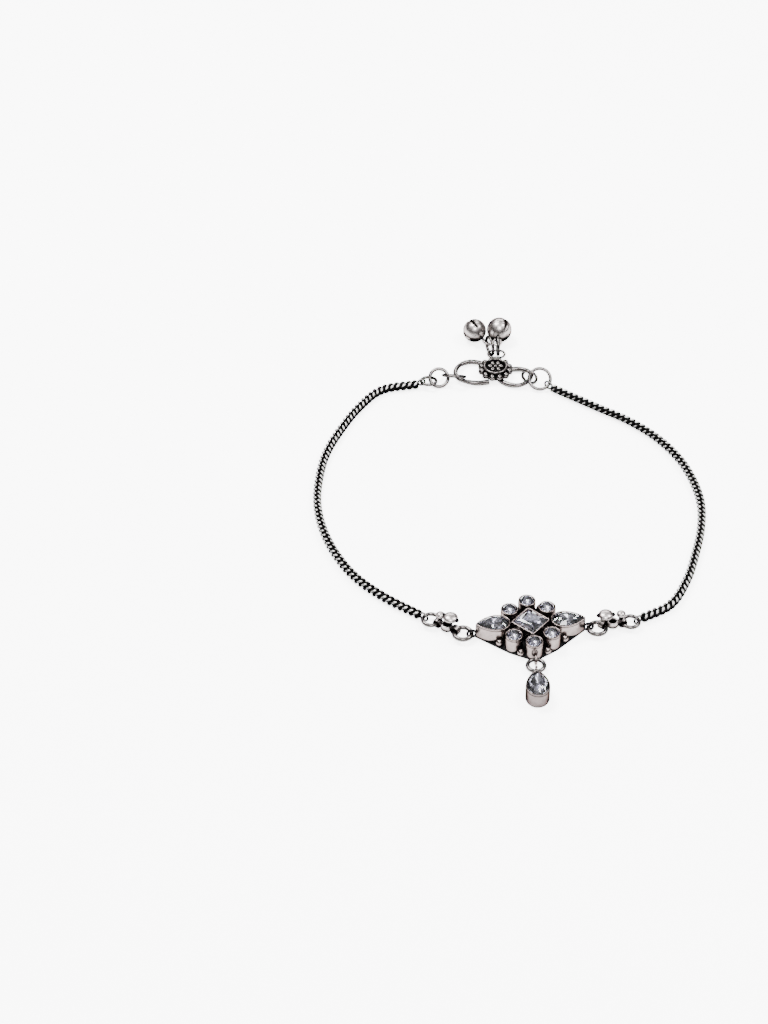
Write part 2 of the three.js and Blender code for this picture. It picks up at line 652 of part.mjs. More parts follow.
function bell(b) {
  const centre = new THREE.Vector3(...b.at, b.d / 2 + FLOOR_CLEAR);
  const [x, y] = polar(BELL_RING.radius * Math.cos(rad(BELL_HOLD)), b.turn);
  const drop = -BELL_RING.radius * Math.sin(rad(BELL_HOLD));
  const towards = bellRingCentre(b).add(new THREE.Vector3(x, y, drop)).sub(centre);
  const reach = towards.length();
  const axis = towards.clone().normalize();
  const toAxis = new THREE.Matrix4().makeRotationFromQuaternion(
    new THREE.Quaternion().setFromUnitVectors(UP, axis),
  );
  const here = new THREE.Matrix4().makeTranslation(...centre.toArray()).multiply(toAxis);
  const upright = new THREE.Matrix4().makeRotationX(Math.PI / 2);
  const shell = ball(b.d, here.clone().multiply(upright), BELL_SIDES);
  const hollow = ball(b.d - 2 * BELL_WALL, here.clone().multiply(upright), BELL_SIDES);
  const slits = BELL_SLIT_TURNS.map((turn) => {
    const box = new THREE.BoxGeometry(BELL_SLIT, b.d * BELL_SLIT_SPAN, b.d);
    return solid(box, here.clone().multiply(place(0, 0, -b.d * BELL_SLIT_DROP, 0, turn)));
  });
  const hole = BELL_RING.wire / 2 + LINK_CLEAR + CURL_EXTRA;
  const neckLength = reach - hole - EYE_WIRE / 2 - b.d / 2 + LAP;
  const neckAt = here.clone().multiply(place(0, 0, b.d / 2 - LAP));
  const neck = prism(circle(BELL_NECK_R, NECK_SIDES), -LAP, neckLength + LAP, neckAt);
  const eyeTurn = here.clone().multiply(place(0, 0, reach, 90));
  const held = torus(hole + EYE_WIRE / 2, EYE_WIRE, eyeTurn, EYE_SIDES);
  return join([shell.subtract(hollow).subtract(join(slits)), neck, held]);
}

for (const [side, b] of Object.entries(BELLS)) {
  add("bell_" + side, bell(b), "silver");
  const upright = place(...bellRingCentre(b).toArray(), 90, b.turn);
  add("bell_ring_" + side, torus(BELL_RING.radius, BELL_RING.wire, upright), "silver");
}

// Woven strand: rows of slanted lobes with a groove between them, and an eye at each end.
const CHAIN_SIDES = CHAIN_ROWS * COLUMNS_PER_ROW;
const STATION = CHAIN_PITCH / STATIONS_PER_PITCH;
const CHAIN_Z = CHAIN_D / 2 + FLOOR_CLEAR;

// Grid of lobes round a route. Each column starts one station later than its neighbour, so the
// grooves run round the strand as four threads, and the last column meets the first one wrap on.
function weave(route, turnAt) {
  const wrap = CHAIN_ROWS * STATIONS_PER_PITCH;
  const spare = wrap + 1;
  const count = Math.ceil(route.length / STATION) + 2 * spare;
  const crest = CHAIN_D / 2;
  const at = [];
  for (let j = 0; j <= count; j++) {
    for (let i = 0; i < CHAIN_SIDES; i++) {
      const s = (j - (i * wrap) / CHAIN_SIDES - spare) * STATION;
      const f = frameAt(route.curve, s, route.length);
      const a = (2 * Math.PI * i) / CHAIN_SIDES + rad(turnAt(s));
      const high = i % COLUMNS_PER_ROW === 0 && j % STATIONS_PER_PITCH === 0;
      at.push(around(f, a, high ? crest : crest - CHAIN_GROOVE));
    }
  }
  const id = (i, j) => (i < CHAIN_SIDES ? j * CHAIN_SIDES + i : (j - wrap) * CHAIN_SIDES);
  const index = [];
  for (let j = wrap; j < count; j++) {
    for (let i = 0; i < CHAIN_SIDES; i++) {
      index.push(id(i, j), id(i, j + 1), id(i + 1, j));
      index.push(id(i + 1, j), id(i, j + 1), id(i + 1, j + 1));
    }
  }
  for (const [j, turned] of [[wrap, false], [count, true]]) {
    const rim = [];
    for (let i = 0; i < CHAIN_SIDES; i++) rim.push(id(i, j));
    for (let k = j - wrap; k < j; k++) rim.push(id(0, k));
    const middle = (j - wrap / 2 - spare) * STATION;
    const hub = at.push(frameAt(route.curve, middle, route.length).point) - 1;
    for (let k = 0; k < rim.length; k++) {
      const next = rim[(k + 1) % rim.length];
      if (turned) index.push(hub, next, rim[k]);
      else index.push(hub, rim[k], next);
    }
  }
  return facing(at, index);
}

// Cuts the strand square at one end of its route.
function endCut(route, s, sign) {
  const f = frameAt(route.curve, s, route.length);
  const depth = CHAIN_PITCH * 2 * CHAIN_ROWS;
  const basis = new THREE.Matrix4().makeBasis(f.side, f.tangent, f.up).setPosition(f.point);
  const box = new THREE.BoxGeometry(2 * CHAIN_D, depth, 2 * CHAIN_D);
  return solid(box, basis.multiply(place(0, (sign * depth) / 2, 0)));
}

// The strand starts and ends at the rim of its two eyes.
function routeBetween(startEye, points, endEye, startReach, endReach) {
  const inner = points.map(([x, y]) => new THREE.Vector3(x, y, CHAIN_Z));
  const start = new THREE.Vector3(startEye[0], startEye[1], CHAIN_Z);
  const end = new THREE.Vector3(endEye[0], endEye[1], CHAIN_Z);
  start.addScaledVector(inner[0].clone().sub(start).normalize(), startReach);
  end.addScaledVector(inner[inner.length - 1].clone().sub(end).normalize(), endReach);
  const curve = new THREE.CatmullRomCurve3([start, ...inner, end], false, "centripetal");
  curve.arcLengthDivisions = ROUTE_STEPS;
  return { curve, length: curve.getLength() };
}

function chainEye(centre, f, hole) {
  const turn = THREE.MathUtils.radToDeg(Math.atan2(f.tangent.y, f.tangent.x));
  return eye(place(centre[0], centre[1], centre[2], 0, turn), hole, CHAIN_EYE_WIRE);
}

function strand(startEye, points, endEye, startHole, endHole, turnAt) {
  const reach = (hole) => hole + CHAIN_EYE_WIRE - LAP;
  const route = routeBetween(startEye, points, endEye, reach(startHole), reach(endHole));
  const body = weave(route, turnAt)
    .subtract(endCut(route, 0, -1))
    .subtract(endCut(route, route.length, 1));
  const first = chainEye(startEye, frameAt(route.curve, 0, route.length), startHole);
  const last = chainEye(endEye, frameAt(route.curve, route.length, route.length), endHole);
  return join([body, first, last]);
}

// The point of a clasp ring's wire that a strand's back eye holds.
function heldAt(p, turn) {
  const [x, y] = polar(p.ring.radius, turn);
  return new THREE.Vector3(x, y, 0).applyMatrix4(place(...p.at, p.lean, p.turn)).toArray();
}

const backEye = {
  left: heldAt(CLASP_PLACES.back_ring_left, BACK_HOLD_TURN.left),
  right: heldAt(CLASP_PLACES.back_ring_right, BACK_HOLD_TURN.right),
};
const backHole = {
  left: BACK_RING.wire / 2 + LINK_CLEAR,
  right: WIDE_RING.wire / 2 + LINK_CLEAR + RIGHT_EYE_EXTRA,
};
const twisted = (s) => THREE.MathUtils.clamp((s - TWIST_FROM) / TWIST_LENGTH, 0, 1);
const leftTurn = () => ROW_TURN;
const rightTurn = (s) => ROW_TURN * (1 - twisted(s));
const { left, right } = CHAIN_POINTS;

add(
  "chain_left",
  strand(backEye.left, left, chainStart.left, backHole.left, FRONT_HOLE, leftTurn),
  "dark",
);
add(
  "chain_right",
  strand(chainStart.right, right, backEye.right, FRONT_HOLE, backHole.right, rightTurn),
  "dark",
);

// The origin is the middle of the part's box, on the floor.
const bounds = new THREE.Box3().setFromObject(root);
const middle = bounds.getCenter(new THREE.Vector3());
root.children.forEach((mesh) => mesh.geometry.translate(-middle.x, -middle.y, -bounds.min.z));

export default root;
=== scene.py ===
import bmesh
import bpy
import math
import random
import numpy as np
from mathutils import Matrix, Vector

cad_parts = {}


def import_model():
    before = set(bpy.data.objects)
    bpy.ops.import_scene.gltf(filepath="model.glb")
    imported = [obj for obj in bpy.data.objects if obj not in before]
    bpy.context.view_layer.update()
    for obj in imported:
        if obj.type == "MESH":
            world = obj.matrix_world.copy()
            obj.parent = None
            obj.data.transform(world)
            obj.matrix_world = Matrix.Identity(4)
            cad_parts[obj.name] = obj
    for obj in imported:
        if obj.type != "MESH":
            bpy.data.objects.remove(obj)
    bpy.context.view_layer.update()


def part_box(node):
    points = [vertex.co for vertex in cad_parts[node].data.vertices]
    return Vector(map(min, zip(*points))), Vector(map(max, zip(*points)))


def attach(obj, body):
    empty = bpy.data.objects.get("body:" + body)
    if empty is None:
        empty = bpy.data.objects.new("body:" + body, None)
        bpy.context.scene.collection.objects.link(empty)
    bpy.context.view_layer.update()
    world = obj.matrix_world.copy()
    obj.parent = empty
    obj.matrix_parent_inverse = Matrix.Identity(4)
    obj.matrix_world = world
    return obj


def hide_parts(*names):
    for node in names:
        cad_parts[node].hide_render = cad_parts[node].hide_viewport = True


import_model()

MM = 0.001
TURN = 2 * math.pi

# Places in a piece's list of materials
MAIN, DARK, PALE = 0, 1, 2

# Height of the normal where the wear begins and where it is whole: the undersides are darkened with painted
# shade
UNDER_WIRE = (-0.2, 0.35)
UNDER_WALL = (-0.5, -0.05)

# Sizes shared with the CAD model, in its drawing frame, in millimetres
STONE_CLEAR = 0.14
LINK_CLEAR = 0.2
LAP = 0.2
FLOOR_CLEAR = 0.02
EYE_WIRE = 0.5
CHAIN_D = 2.1
CHAIN_PITCH = 1.36
CHAIN_EYE_WIRE = 0.45
ROW_TURN = 45
TWIST_FROM = 42
TWIST_LENGTH = 32
RIGHT_EYE_EXTRA = 0.12
CHAIN_POINTS = {
    "left": [
        (-27.6, 40.5), (-32.6, 34.3), (-36.6, 26.4), (-39.6, 18.4), (-41.0, 10.2),
        (-41.3, 1.8), (-40.0, -6.5), (-37.2, -14.5), (-33.0, -21.8), (-27.1, -27.9),
    ],
    "right": [
        (31.9, -30.3), (35.9, -22.8), (38.4, -14.6), (40.2, -6.7), (40.9, 1.3),
        (39.8, 9.4), (37.2, 17.0), (32.9, 23.9), (27.2, 29.7), (20.6, 34.4),
    ],
}
ORNAMENT_CENTRE = (2.8, -38)
ORNAMENT_YAW = 5
PLATE_T = 0.7
CUP_H = 3.2
BEZEL_WALL = 0.35
SQUARE_REACH = 3.9
SQUARE_CORNER = 0.35
ROUND_D = 3.6
PEAR_L = 7.1
PEAR_W = 4.7
PEAR_SHARP = 0.7
MIDDLE_GAP = 0.4
SIDE_GAP = 0.9
PEAR_GAP = 0.25
GRANULE_D = 1.45
INNER_GRANULE = (2.75, 6.35)
OUTER_GRANULE = (6.7, 3.1)
TIP_LOOP_GAP = 0.3
LINK_RING = (1.8, 0.9)
FRONT_RING = (1.7, 0.8)
DROP_RING = (1.7, 0.85)
BACK_RING = (1.7, 0.7)
CLASP_RING = (2.05, 0.8)
HOOK_RING = (2.45, 0.7)
WIDE_RING = (2.4, 0.75)
SMALL_RING = (1.7, 0.65)
BELL_RING = (2.1, 0.7)
LINK_RING_TURN = {"left": 178, "right": -17}
LINK_HOLD_TURN = {"left": 146, "right": 50}
BUTTON_LINK_TURN = {"left": 148, "right": 6}
FRONT_RING_TURN = {"left": 149, "right": 22}
LINK_LENGTH = 4.1
LINK_WIDTH = 2.2
LINK_WALL = 0.4
LINK_H = 1.3
CURL_WALL = 0.3
CURL_WIDTH = 1.2
CURL_EXTRA = 0.1
BUTTON_D = 3.1
BUTTON_H = 1.5
BUTTON_TOP = 4.2
BUTTON_AT = {"left": (1.5, 0.5), "right": (0.6, 0.1)}
AXLE_D = 0.9
AXLE_L = 3.9
KNOB_D = 1.9
KNOB_H = 1.3
KNOB_TOP = 3.8
KNOB_AT = (3.8, 0.35)
NECK_D = 1.1
DROP_L = 7.3
DROP_W = 4.9
DROP_SHARP = 0.5
DROP_DEPTH = 3.5
DROP_NECK = 1.2
HOOK_WIRE = 1.0
HOOK_POINTS = [
    (-3.3, 43.9, 0.75), (-5.8, 43.3, 0.9), (-8.4, 43.6, 1.1), (-10.2, 44.6, 1.3), (-10.8, 46.4, 1.3),
    (-10.4, 48.5, 1.2), (-9.2, 50.2, 1.0), (-7.2, 51.2, 0.8), (-4.8, 50.9, 0.6), (-2.6, 48.9, 0.6),
    (-1.5, 46.4, 0.6), (-0.3, 44.2, 0.6), (1.5, 42.9, 0.7), (3.5, 42.5, 0.9), (5.4, 43.5, 1.2),
    (6.3, 45.5, 1.3), (5.7, 47.4, 1.1), (3.9, 48.5, 0.8), (1.2, 48.6, 0.6),
]
ROSETTE_CENTRE = (-1.75, 47.5)
ROSETTE_D = 8.0
ROSETTE_BEADS = 12
ROSETTE_BEAD_D = 1.55
ROSETTE_PLATE_T = 0.8
ROSETTE_RIM_D = 5.0
ROSETTE_RIM_WIRE = 0.5
ROSETTE_BOSS_D = 5.4
ROSETTE_BOSS_H = 0.9
PETALS = 6
PETAL_D = 1.3
PETAL_H = 0.35
BACK_LOOP_X = -1.4
BACK_LOOP_HALF = 0.6
BACK_LOOP_R = 1.3
BACK_LOOP_LAP = 0.3
CLASP_PLACES = {
    "hook_ring_left": (HOOK_RING, (-11.16, 44.69, 1.84), -36.6, -7),
    "clasp_ring_left": (CLASP_RING, (-14.57, 44.24, 1.7), 37.5, 0.6),
    "hook_ring_right": (SMALL_RING, (5.83, 44.03, 2.06), 93, -24),
    "back_ring_right": (WIDE_RING, (8.1, 43.1, 2.26), 38, 0),
    "back_ring_left": (BACK_RING, (-16.92, 43.4, 1.4), -7.7, 0.5),
}
BACK_HOLD_TURN = {"left": 196, "right": -36}
BELLS = {
    "left": {"d": 5.3, "at": (-6.15, 60.5), "ring_x": -2.1, "turn": 110},
    "right": {"d": 5.7, "at": (-0.5, 60.5), "ring_x": -0.9, "turn": 92},
}
BELL_HOLD = 15
RING_SHIFT = 0.25
LINK_HOLE = LINK_RING[1] / 2 + LINK_CLEAR + CURL_EXTRA
FRONT_HOLE = FRONT_RING[1] / 2 + LINK_CLEAR + CURL_EXTRA
BELL_HOLE = BELL_RING[1] / 2 + LINK_CLEAR + CURL_EXTRA
BACK_LOOP_Y = ROSETTE_CENTRE[1] + ROSETTE_D / 2 + BACK_LOOP_R + EYE_WIRE / 2 - BACK_LOOP_LAP
CHAIN_Z = CHAIN_D / 2 + FLOOR_CLEAR

# Finer forms that only the scene has. Lengths are in millimetres, and full wear is 1 or more.
# The share of the wear left on a wire's outer and inner sides: painted shade along its outline
RING_SIDE_SHADE = 0.75
PEAR_SIDES = 56
# The square's rounded corners: they shrink with an inset, and their arcs sit back from the tip
CORNER_SHRINK = 0.4
CORNER_LEAST = 0.06
CORNER_EASE = 0.2
CORNER_BACK = 0.41
CORNER_STEPS = 4
# A cup's wall from its foot up, as (inset, height, wear), then over the rim and down inside, with depths
CUP_FOOT = [(0.05, 0, 0.0), (0.0, 0.12, 0.1), (0.0, 0.4, 0.7)]
CUP_RIM_DEPTHS = [
    (0.0, 0.62, 0.8), (0.04, 0.5, 0.35), (0.07, 0.44, 0.0), (0.04, 0.37, 0.35), (0.0, 0.26, 0.85),
    (0.02, 0.12, 1.2), (0.08, 0.03, 1.5), (0.15, 0, 1.6), (0.22, 0.03, 1.4),
    (BEZEL_WALL - 0.04, 0.14, 0.6), (BEZEL_WALL, 0.4, 0.1), (BEZEL_WALL, 1.25, 0.0),
]
PLATE_EDGE = 0.1
PLATE_ROUND = 0.12
# An inset of 1 takes a ninth off the plate's length and a seventh off its width
PLATE_SHRINK = (9, 7)
# Sides of a stone's table, and its rings of corners as (share of its outline, height over the rim)
STONE_SIDES = {"round": 8, "square": 8, "pear": 14, "drop": 14}
STONE_GROW = 0.1
STONE_TABLE = (0.56, 0.62)
STONE_MIDDLE_RING = (0.8, 0.341)
STONE_GIRDLE = (1.0, -0.02)
STONE_LOWER = (1.0, -0.16)
STONE_WAIST = (0.6, -0.6)
STONE_CULET = -1.05
CURL_RIBS = 5
CURL_RIB_STEPS = 4
CURL_RIB_H = 0.05
CURL_AROUND = 32
CURL_WEAR = 0.3
CURL_RIB_WEAR = 12
# A button link's ribbon: its rounding, the wear of each level round its wall, and a dark floor in its hollow
# that paints the hollow's shade
RIBBON_ROUND = 0.08
RIBBON_EDGE = 0.06
RIBBON_WEAR = [0.3, 0.5, 0.9, 1.0, 1.0, 0.9, 0.6, 0.4, 0.3]
RIBBON_SHADE_FLOOR = (0.1, 0.25)
RIBBON_SHADE_FLOOR_WEAR = 0.2
# The neck under a head: shares of its width at heights from its foot, and below the head's middle
NECK_FOOT = [(1.0, 0.0), (0.8, 0.4)]
NECK_WAIST = (0.75, 0.3)
NECK_TOP = 1.1
NECK_WEAR = 0.6
# The hook is fuller than its solid away from the rings in it, whose places are (middle, half length)
HOOK_STEP = 0.22
HOOK_HELD = [(0.215, 0.085), (0.81, 0.09)]
HOOK_FULLER = 0.18
HOOK_FULLER_EASE = 0.04
HOOK_RIBBED = (0.28, 0.44)
HOOK_RIB_DEPTH = 0.06
HOOK_RIB_RATE = 260
ROSETTE_SIDES = 64
ROSETTE_FOOT = 0.06
ROSETTE_ROUND = 0.05
BOSS_ROUND = 0.1
PETAL_OUT = 0.95
BUD_SHARE = 0.7
PETAL_NARROW = 0.8
BACK_LOOP_SIDES = 26
# A bell's slits are pressed in to a share of its radius and have dull lips. Its seam is given as
# (height, half width), and its neck laps into the bell and into the loop.
BELL_AROUND = 96
BELL_BANDS = 56
BELL_SLIT = 0.3
BELL_SLIT_REACH = 0.45
BELL_SLIT_DEPTH = 0.86
BELL_LIP = 2.2
BELL_LIP_WEAR = 0.35
BELL_SEAM = (-0.02, 0.09)
BELL_SEAM_DEPTH = 0.985
BELL_NECK = 0.6
BELL_NECK_LAP = (0.3, 0.15)
# A lobe of the weave is a fat wire arched over a quarter of the strand, from seam to seam. It dips
# towards blunt tips. A small step and turn ahead give its direction.
LOBE_ROWS = 4
LOBE_ACROSS = 12
LOBE_ALONG = 14
LOBE_HALF_TURN = 44
LOBE_SLANT = 0.46
LOBE_W = 0.35
LOBE_T = 0.34
LOBE_OUT = 0.98
LOBE_W_SPREAD = 0.04
LOBE_S_SPREAD = 0.03
LOBE_DIP = 0.13
LOBE_BLUNT = 2.6
LOBE_TIP = 0.06
LOBE_WEAR = 1.06
LOBE_END_WEAR = 0.5
LOBE_AHEAD = (0.02, 0.8)
CORE_R = 0.66
CORE_SIDES = 12
CORE_WEAR = 0.3
CORE_STEP = 0.7
ROUTE_STEPS = 40
ROUTE_REACH = 0.3

# The drawing frame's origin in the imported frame, from where the square stone lies
low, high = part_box("stone_centre")
STONE_MIDDLE = [(a + b) / 2 for a, b in zip(low, high)]
SHIFT = (
    STONE_MIDDLE[0] / MM - ORNAMENT_CENTRE[0],
    STONE_MIDDLE[1] / MM - ORNAMENT_CENTRE[1],
    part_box("ornament_setting")[0][2] / MM,
)


def rad(deg):
    return deg * math.pi / 180


def polar(r, deg):
    return (r * math.cos(rad(deg)), r * math.sin(rad(deg)))


def place(x, y, z, lean_x=0, turn_z=0):
    lean = Matrix.Rotation(rad(lean_x), 4, "X")
    return Matrix.Translation((x, y, z)) @ Matrix.Rotation(rad(turn_z), 4, "Z") @ lean


class Shape:
    """Collects vertices, faces, a material number for each face and a value of wear and painted shade for
    each vertex.
    """

    def __init__(self):
        self.at = []
        self.faces = []
        self.slots = []
        self.rub_and_shade = []
        self.flat = []

    def add(self, points, faces, matrix=None, slot=MAIN, rub_and_shade=1.0, flat=False):
        """The slot may be one number or one for each face, and the wear and shade value one number or one
        for each point.
        """
        start = len(self.at)
        for p in points:
            v = Vector(p)
            self.at.append(matrix @ v if matrix else v)
        self.rub_and_shade.extend(rub_and_shade if hasattr(rub_and_shade, "__len__") else [rub_and_shade] * len(points))
        self.faces.extend([start + i for i in f] for f in faces)
        self.slots.extend(slot if hasattr(slot, "__len__") else [slot] * len(faces))
        self.flat.extend([flat] * len(faces))

    def grid(self, rows, close_rows=False, cap=False, matrix=None, slot=MAIN, rub_and_shade=1.0):
        """Rows of points joined into a skin. Each row is a closed ring."""
        n = len(rows[0])
        points = [p for row in rows for p in row]
        faces = []
        count = len(rows)
        for j in range(count if close_rows else count - 1):
            m = (j + 1) % count
            for i in range(n):
                k = (i + 1) % n
                faces.append((j * n + i, j * n + k, m * n + k, m * n + i))
        if cap:
            faces.append(tuple(reversed(range(n))))
            faces.append(tuple((count - 1) * n + i for i in range(n)))
        self.add(points, faces, matrix, slot, rub_and_shade)

    def build(self, name, materials, nodes, under=UNDER_WIRE):
        """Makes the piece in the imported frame. It takes the place of the named nodes."""
        mesh = bpy.data.meshes.new(name)
        moved = [tuple((c + s) * MM for c, s in zip(v, SHIFT)) for v in self.at]
        mesh.from_pydata(moved, [], self.faces)
        for m in materials:
            mesh.materials.append(m)
        mesh.polygons.foreach_set("material_index", self.slots)
        mesh.polygons.foreach_set("use_smooth", [not f for f in self.flat])
        mesh.update()
        mesh.validate()
        outward(mesh)
        # The wear values are darkened where the surface faces down: painted shade
        layer = mesh.attributes.new("rub_and_shade", "FLOAT", "POINT")
        layer.data.foreach_set("value", painted_shade_below(mesh, self.rub_and_shade, under))
        piece = bpy.data.objects.new(name, mesh)
        bpy.context.scene.collection.objects.link(piece)
        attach(piece, "root")
        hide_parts(*nodes)


def outward(mesh):
    """Turns every face out."""
    work = bmesh.new()
    work.from_mesh(mesh)
    bmesh.ops.recalc_face_normals(work, faces=work.faces)
    work.to_mesh(mesh)
    work.free()


def painted_shade_below(mesh, rub_and_shade, under):
    """Wear is less where the surface faces down: painted shade on the undersides."""
    normals = np.empty(3 * len(mesh.vertices), dtype=np.float32)
    mesh.vertex_normals.foreach_get("vector", normals)
    low_z, high_z = under
    share = np.clip((normals[2::3] - low_z) / (high_z - low_z), 0.0, 1.0)
    return (np.array(rub_and_shade) * share).astype(np.float32)


# Plain forms
def torus(shape, radius, wire_d, matrix, around=56, across=14, slot=MAIN):
    rows = []
    rub_and_shade = []
    for j in range(around):
        a = TURN * j / around
        row = []
        for i in range(across):
            b = TURN * i / across
            r = radius + wire_d / 2 * math.cos(b)
            row.append((r * math.cos(a), r * math.sin(a), wire_d / 2 * math.sin(b)))
            # The wire's sides are darker than its top and bottom: painted shade
            rub_and_shade.append(RING_SIDE_SHADE + (1 - RING_SIDE_SHADE) * abs(math.sin(b)))
        rows.append(row)
    shape.grid(rows, close_rows=True, matrix=matrix, slot=slot, rub_and_shade=rub_and_shade)


def ball(shape, d, matrix, around=24, bands=14, slot=MAIN, rub_and_shade=1.0):
    rows = []
    for j in range(1, bands):
        a = math.pi * j / bands
        rows.append([
            (d / 2 * math.sin(a) * math.cos(TURN * i / around),
             d / 2 * math.sin(a) * math.sin(TURN * i / around),
             -d / 2 * math.cos(a)) for i in range(around)
        ])
    points = [p for row in rows for p in row] + [(0, 0, -d / 2), (0, 0, d / 2)]
    faces = []
    n = around
    for j in range(len(rows) - 1):
        for i in range(n):
            k = (i + 1) % n
            faces.append((j * n + i, j * n + k, (j + 1) * n + k, (j + 1) * n + i))
    bottom = len(points) - 2
    last = (len(rows) - 1) * n
    for i in range(n):
        k = (i + 1) % n
        faces.append((bottom, k, i))
        faces.append((bottom + 1, last + i, last + k))
    shape.add(points, faces, matrix, slot, rub_and_shade)


def loft(shape, outline, levels, matrix, slot=MAIN):
    """Rings of an outline at (inset, height, wear) levels, closed at both ends."""
    rows = [[(x, y, z) for x, y in outline(inset)] for inset, z, _ in levels]
    rub_and_shade = [wear_and_shade for _, _, wear_and_shade in levels for _ in rows[0]]
    shape.grid(rows, cap=True, matrix=matrix, slot=slot, rub_and_shade=rub_and_shade)


def circle(r, sides=40):
    return [polar(r, 360 * i / sides) for i in range(sides)]


def pear(length, width, sharp, inset):
    """A pear outline along X with its tip at +X."""
    raw = []
    for i in range(PEAR_SIDES):
        t = TURN * i / PEAR_SIDES
        raw.append((math.cos(t), math.sin(t) * abs(math.sin(t / 2)) ** sharp))
    widest = max(p[1] for p in raw)
    return [(x * (length / 2 - inset), y / widest * (width / 2 - inset)) for x, y in raw]


def diamond(reach, inset):
    """A square on its corner, its corners rounded by short arcs."""
    r = max(SQUARE_CORNER - inset * CORNER_SHRINK, CORNER_LEAST)
    far = reach - inset * math.sqrt(2) + (SQUARE_CORNER - r) * CORNER_EASE - r * math.sqrt(2) + r
    points = []
    for i in range(4):
        cx, cy = polar(far - r * CORNER_BACK, 90 * i)
        for j in range(CORNER_STEPS + 1):
            x, y = polar(r, 90 * i - 45 + 90 * j / CORNER_STEPS)
            points.append((cx + x, cy + y))
    return points


OUTLINES = {
    "square": lambda inset: diamond(SQUARE_REACH, inset),
    "round": lambda inset: circle(ROUND_D / 2 - inset),
    "pear": lambda inset: pear(PEAR_L, PEAR_W, PEAR_SHARP, inset),
    "drop": lambda inset: pear(DROP_L, DROP_W, DROP_SHARP, inset),
}


def frames_along(points, closed):
    """Frames (point, side, up) along a list of points, without twist."""
    at = [Vector(p) for p in points]
    n = len(at)
    out = []
    up = None
    for i in range(n):
        a = at[(i - 1) % n] if closed or i > 0 else at[0]
        b = at[(i + 1) % n] if closed or i < n - 1 else at[n - 1]
        t = (b - a).normalized()
        if up is None:
            up = Vector((0, 0, 1))
            if abs(t.z) > 0.9:
                up = Vector((0, 1, 0))
        side = t.cross(up).normalized()
        up = side.cross(t).normalized()
        out.append((at[i], side, up))
    return out


def wire(shape, points, radius, closed=False, across=14, slot=MAIN):
    """A round wire along points. Its radius may change with its share of the way."""
    rows = []
    frames = frames_along(points, closed)
    for j, (p, side, up) in enumerate(frames):
        r = radius(j / (len(frames) - 1)) if callable(radius) else radius
        angles = [TURN * i / across for i in range(across)]
        rows.append([p + side * (r * math.sin(b)) + up * (r * math.cos(b)) for b in angles])
    shape.grid(rows, close_rows=closed, cap=not closed, slot=slot)


def catmull(points, per):
    """Centripetal Catmull-Rom points on an open line, as the CAD model's curves."""
    at = [Vector(p) for p in points]
    out = []
    for i in range(len(at) - 1):
        p1, p2 = at[i], at[i + 1]
        p0 = at[i - 1] if i > 0 else 2 * p1 - p2
        p3 = at[i + 2] if i < len(at) - 2 else 2 * p2 - p1
        d0 = max((p1 - p0).length ** 0.5, 1e-4)
        d1 = max((p2 - p1).length ** 0.5, 1e-4)
        d2 = max((p3 - p2).length ** 0.5, 1e-4)
        t1 = ((p1 - p0) / d0 - (p2 - p0) / (d0 + d1) + (p2 - p1) / d1) * d1
        t2 = ((p2 - p1) / d1 - (p3 - p1) / (d1 + d2) + (p3 - p2) / d2) * d1
        for j in range(per):
            u = j / per
            c2 = -3 * p1 + 3 * p2 - 2 * t1 - t2
            c3 = 2 * p1 - 2 * p2 + t1 + t2
            out.append(p1 + t1 * u + c2 * u * u + c3 * u * u * u)
    out.append(at[-1])
    return out


def even(points, step):
    """The same line with its points a step apart."""
    at = np.array([tuple(p) for p in points])
    s = np.concatenate([[0], np.cumsum(np.linalg.norm(np.diff(at, axis=0), axis=1))])
    n = max(int(round(s[-1] / step)), 2)
    grid = np.linspace(0, s[-1], n + 1)
    return [Vector([float(np.interp(g, s, at[:, k])) for k in range(3)]) for g in grid]


# Materials
def nodes_of(name):
    material = bpy.data.materials.new(name)
    material.use_nodes = True
    tree = material.node_tree
    return material, tree, tree.nodes["Principled BSDF"]


def noise(tree, scale, detail):
    """A cloud over the object's coordinates in millimetres."""
    where = tree.nodes.new("ShaderNodeTexCoord")
    mapping = tree.nodes.new("ShaderNodeMapping")
    mapping.inputs["Scale"].default_value = [1 / MM] * 3
    tree.links.new(where.outputs["Object"], mapping.inputs["Vector"])
    texture = tree.nodes.new("ShaderNodeTexNoise")
    texture.inputs["Scale"].default_value = scale
    texture.inputs["Detail"].default_value = detail
    texture.inputs["Roughness"].default_value = 0.5
    tree.links.new(mapping.outputs["Vector"], texture.inputs["Vector"])
    return texture.outputs["Fac"]


def ramp(tree, fac, stops):
    node = tree.nodes.new("ShaderNodeValToRGB")
    elements = node.color_ramp.elements
    while len(elements) < len(stops):
        elements.new(0.5)
    for element, (at, colour) in zip(elements, stops):
        element.position = at
        element.color = (*colour, 1) if hasattr(colour, "__len__") else (colour, colour, colour, 1)
    tree.links.new(fac, node.inputs["Fac"])
    return node.outputs["Color"]


def maths(tree, kind, a, b):
    node = tree.nodes.new("ShaderNodeMath")
    node.operation = kind
    for socket, value in zip(node.inputs, (a, b)):
        if isinstance(value, (int, float)):
            socket.default_value = value
        else:
            tree.links.new(value, socket)
    return node.outputs["Value"]


def bump(tree, shader, height, strength, distance):
    node = tree.nodes.new("ShaderNodeBump")
    node.inputs["Strength"].default_value = strength
    node.inputs["Distance"].default_value = distance * MM
    tree.links.new(height, node.inputs["Height"])
    tree.links.new(node.outputs["Normal"], shader.inputs["Normal"])


# Scales of the clouds in the silver, and the scratches' strength and depth in millimetres
GRAIN = 1.2
ROUGH_GRAIN = GRAIN * 3
ROUGH_STOPS = (0.3, 0.7)
SCRATCH_GRAIN = GRAIN * 6
SCRATCH = (0.25, 0.03)


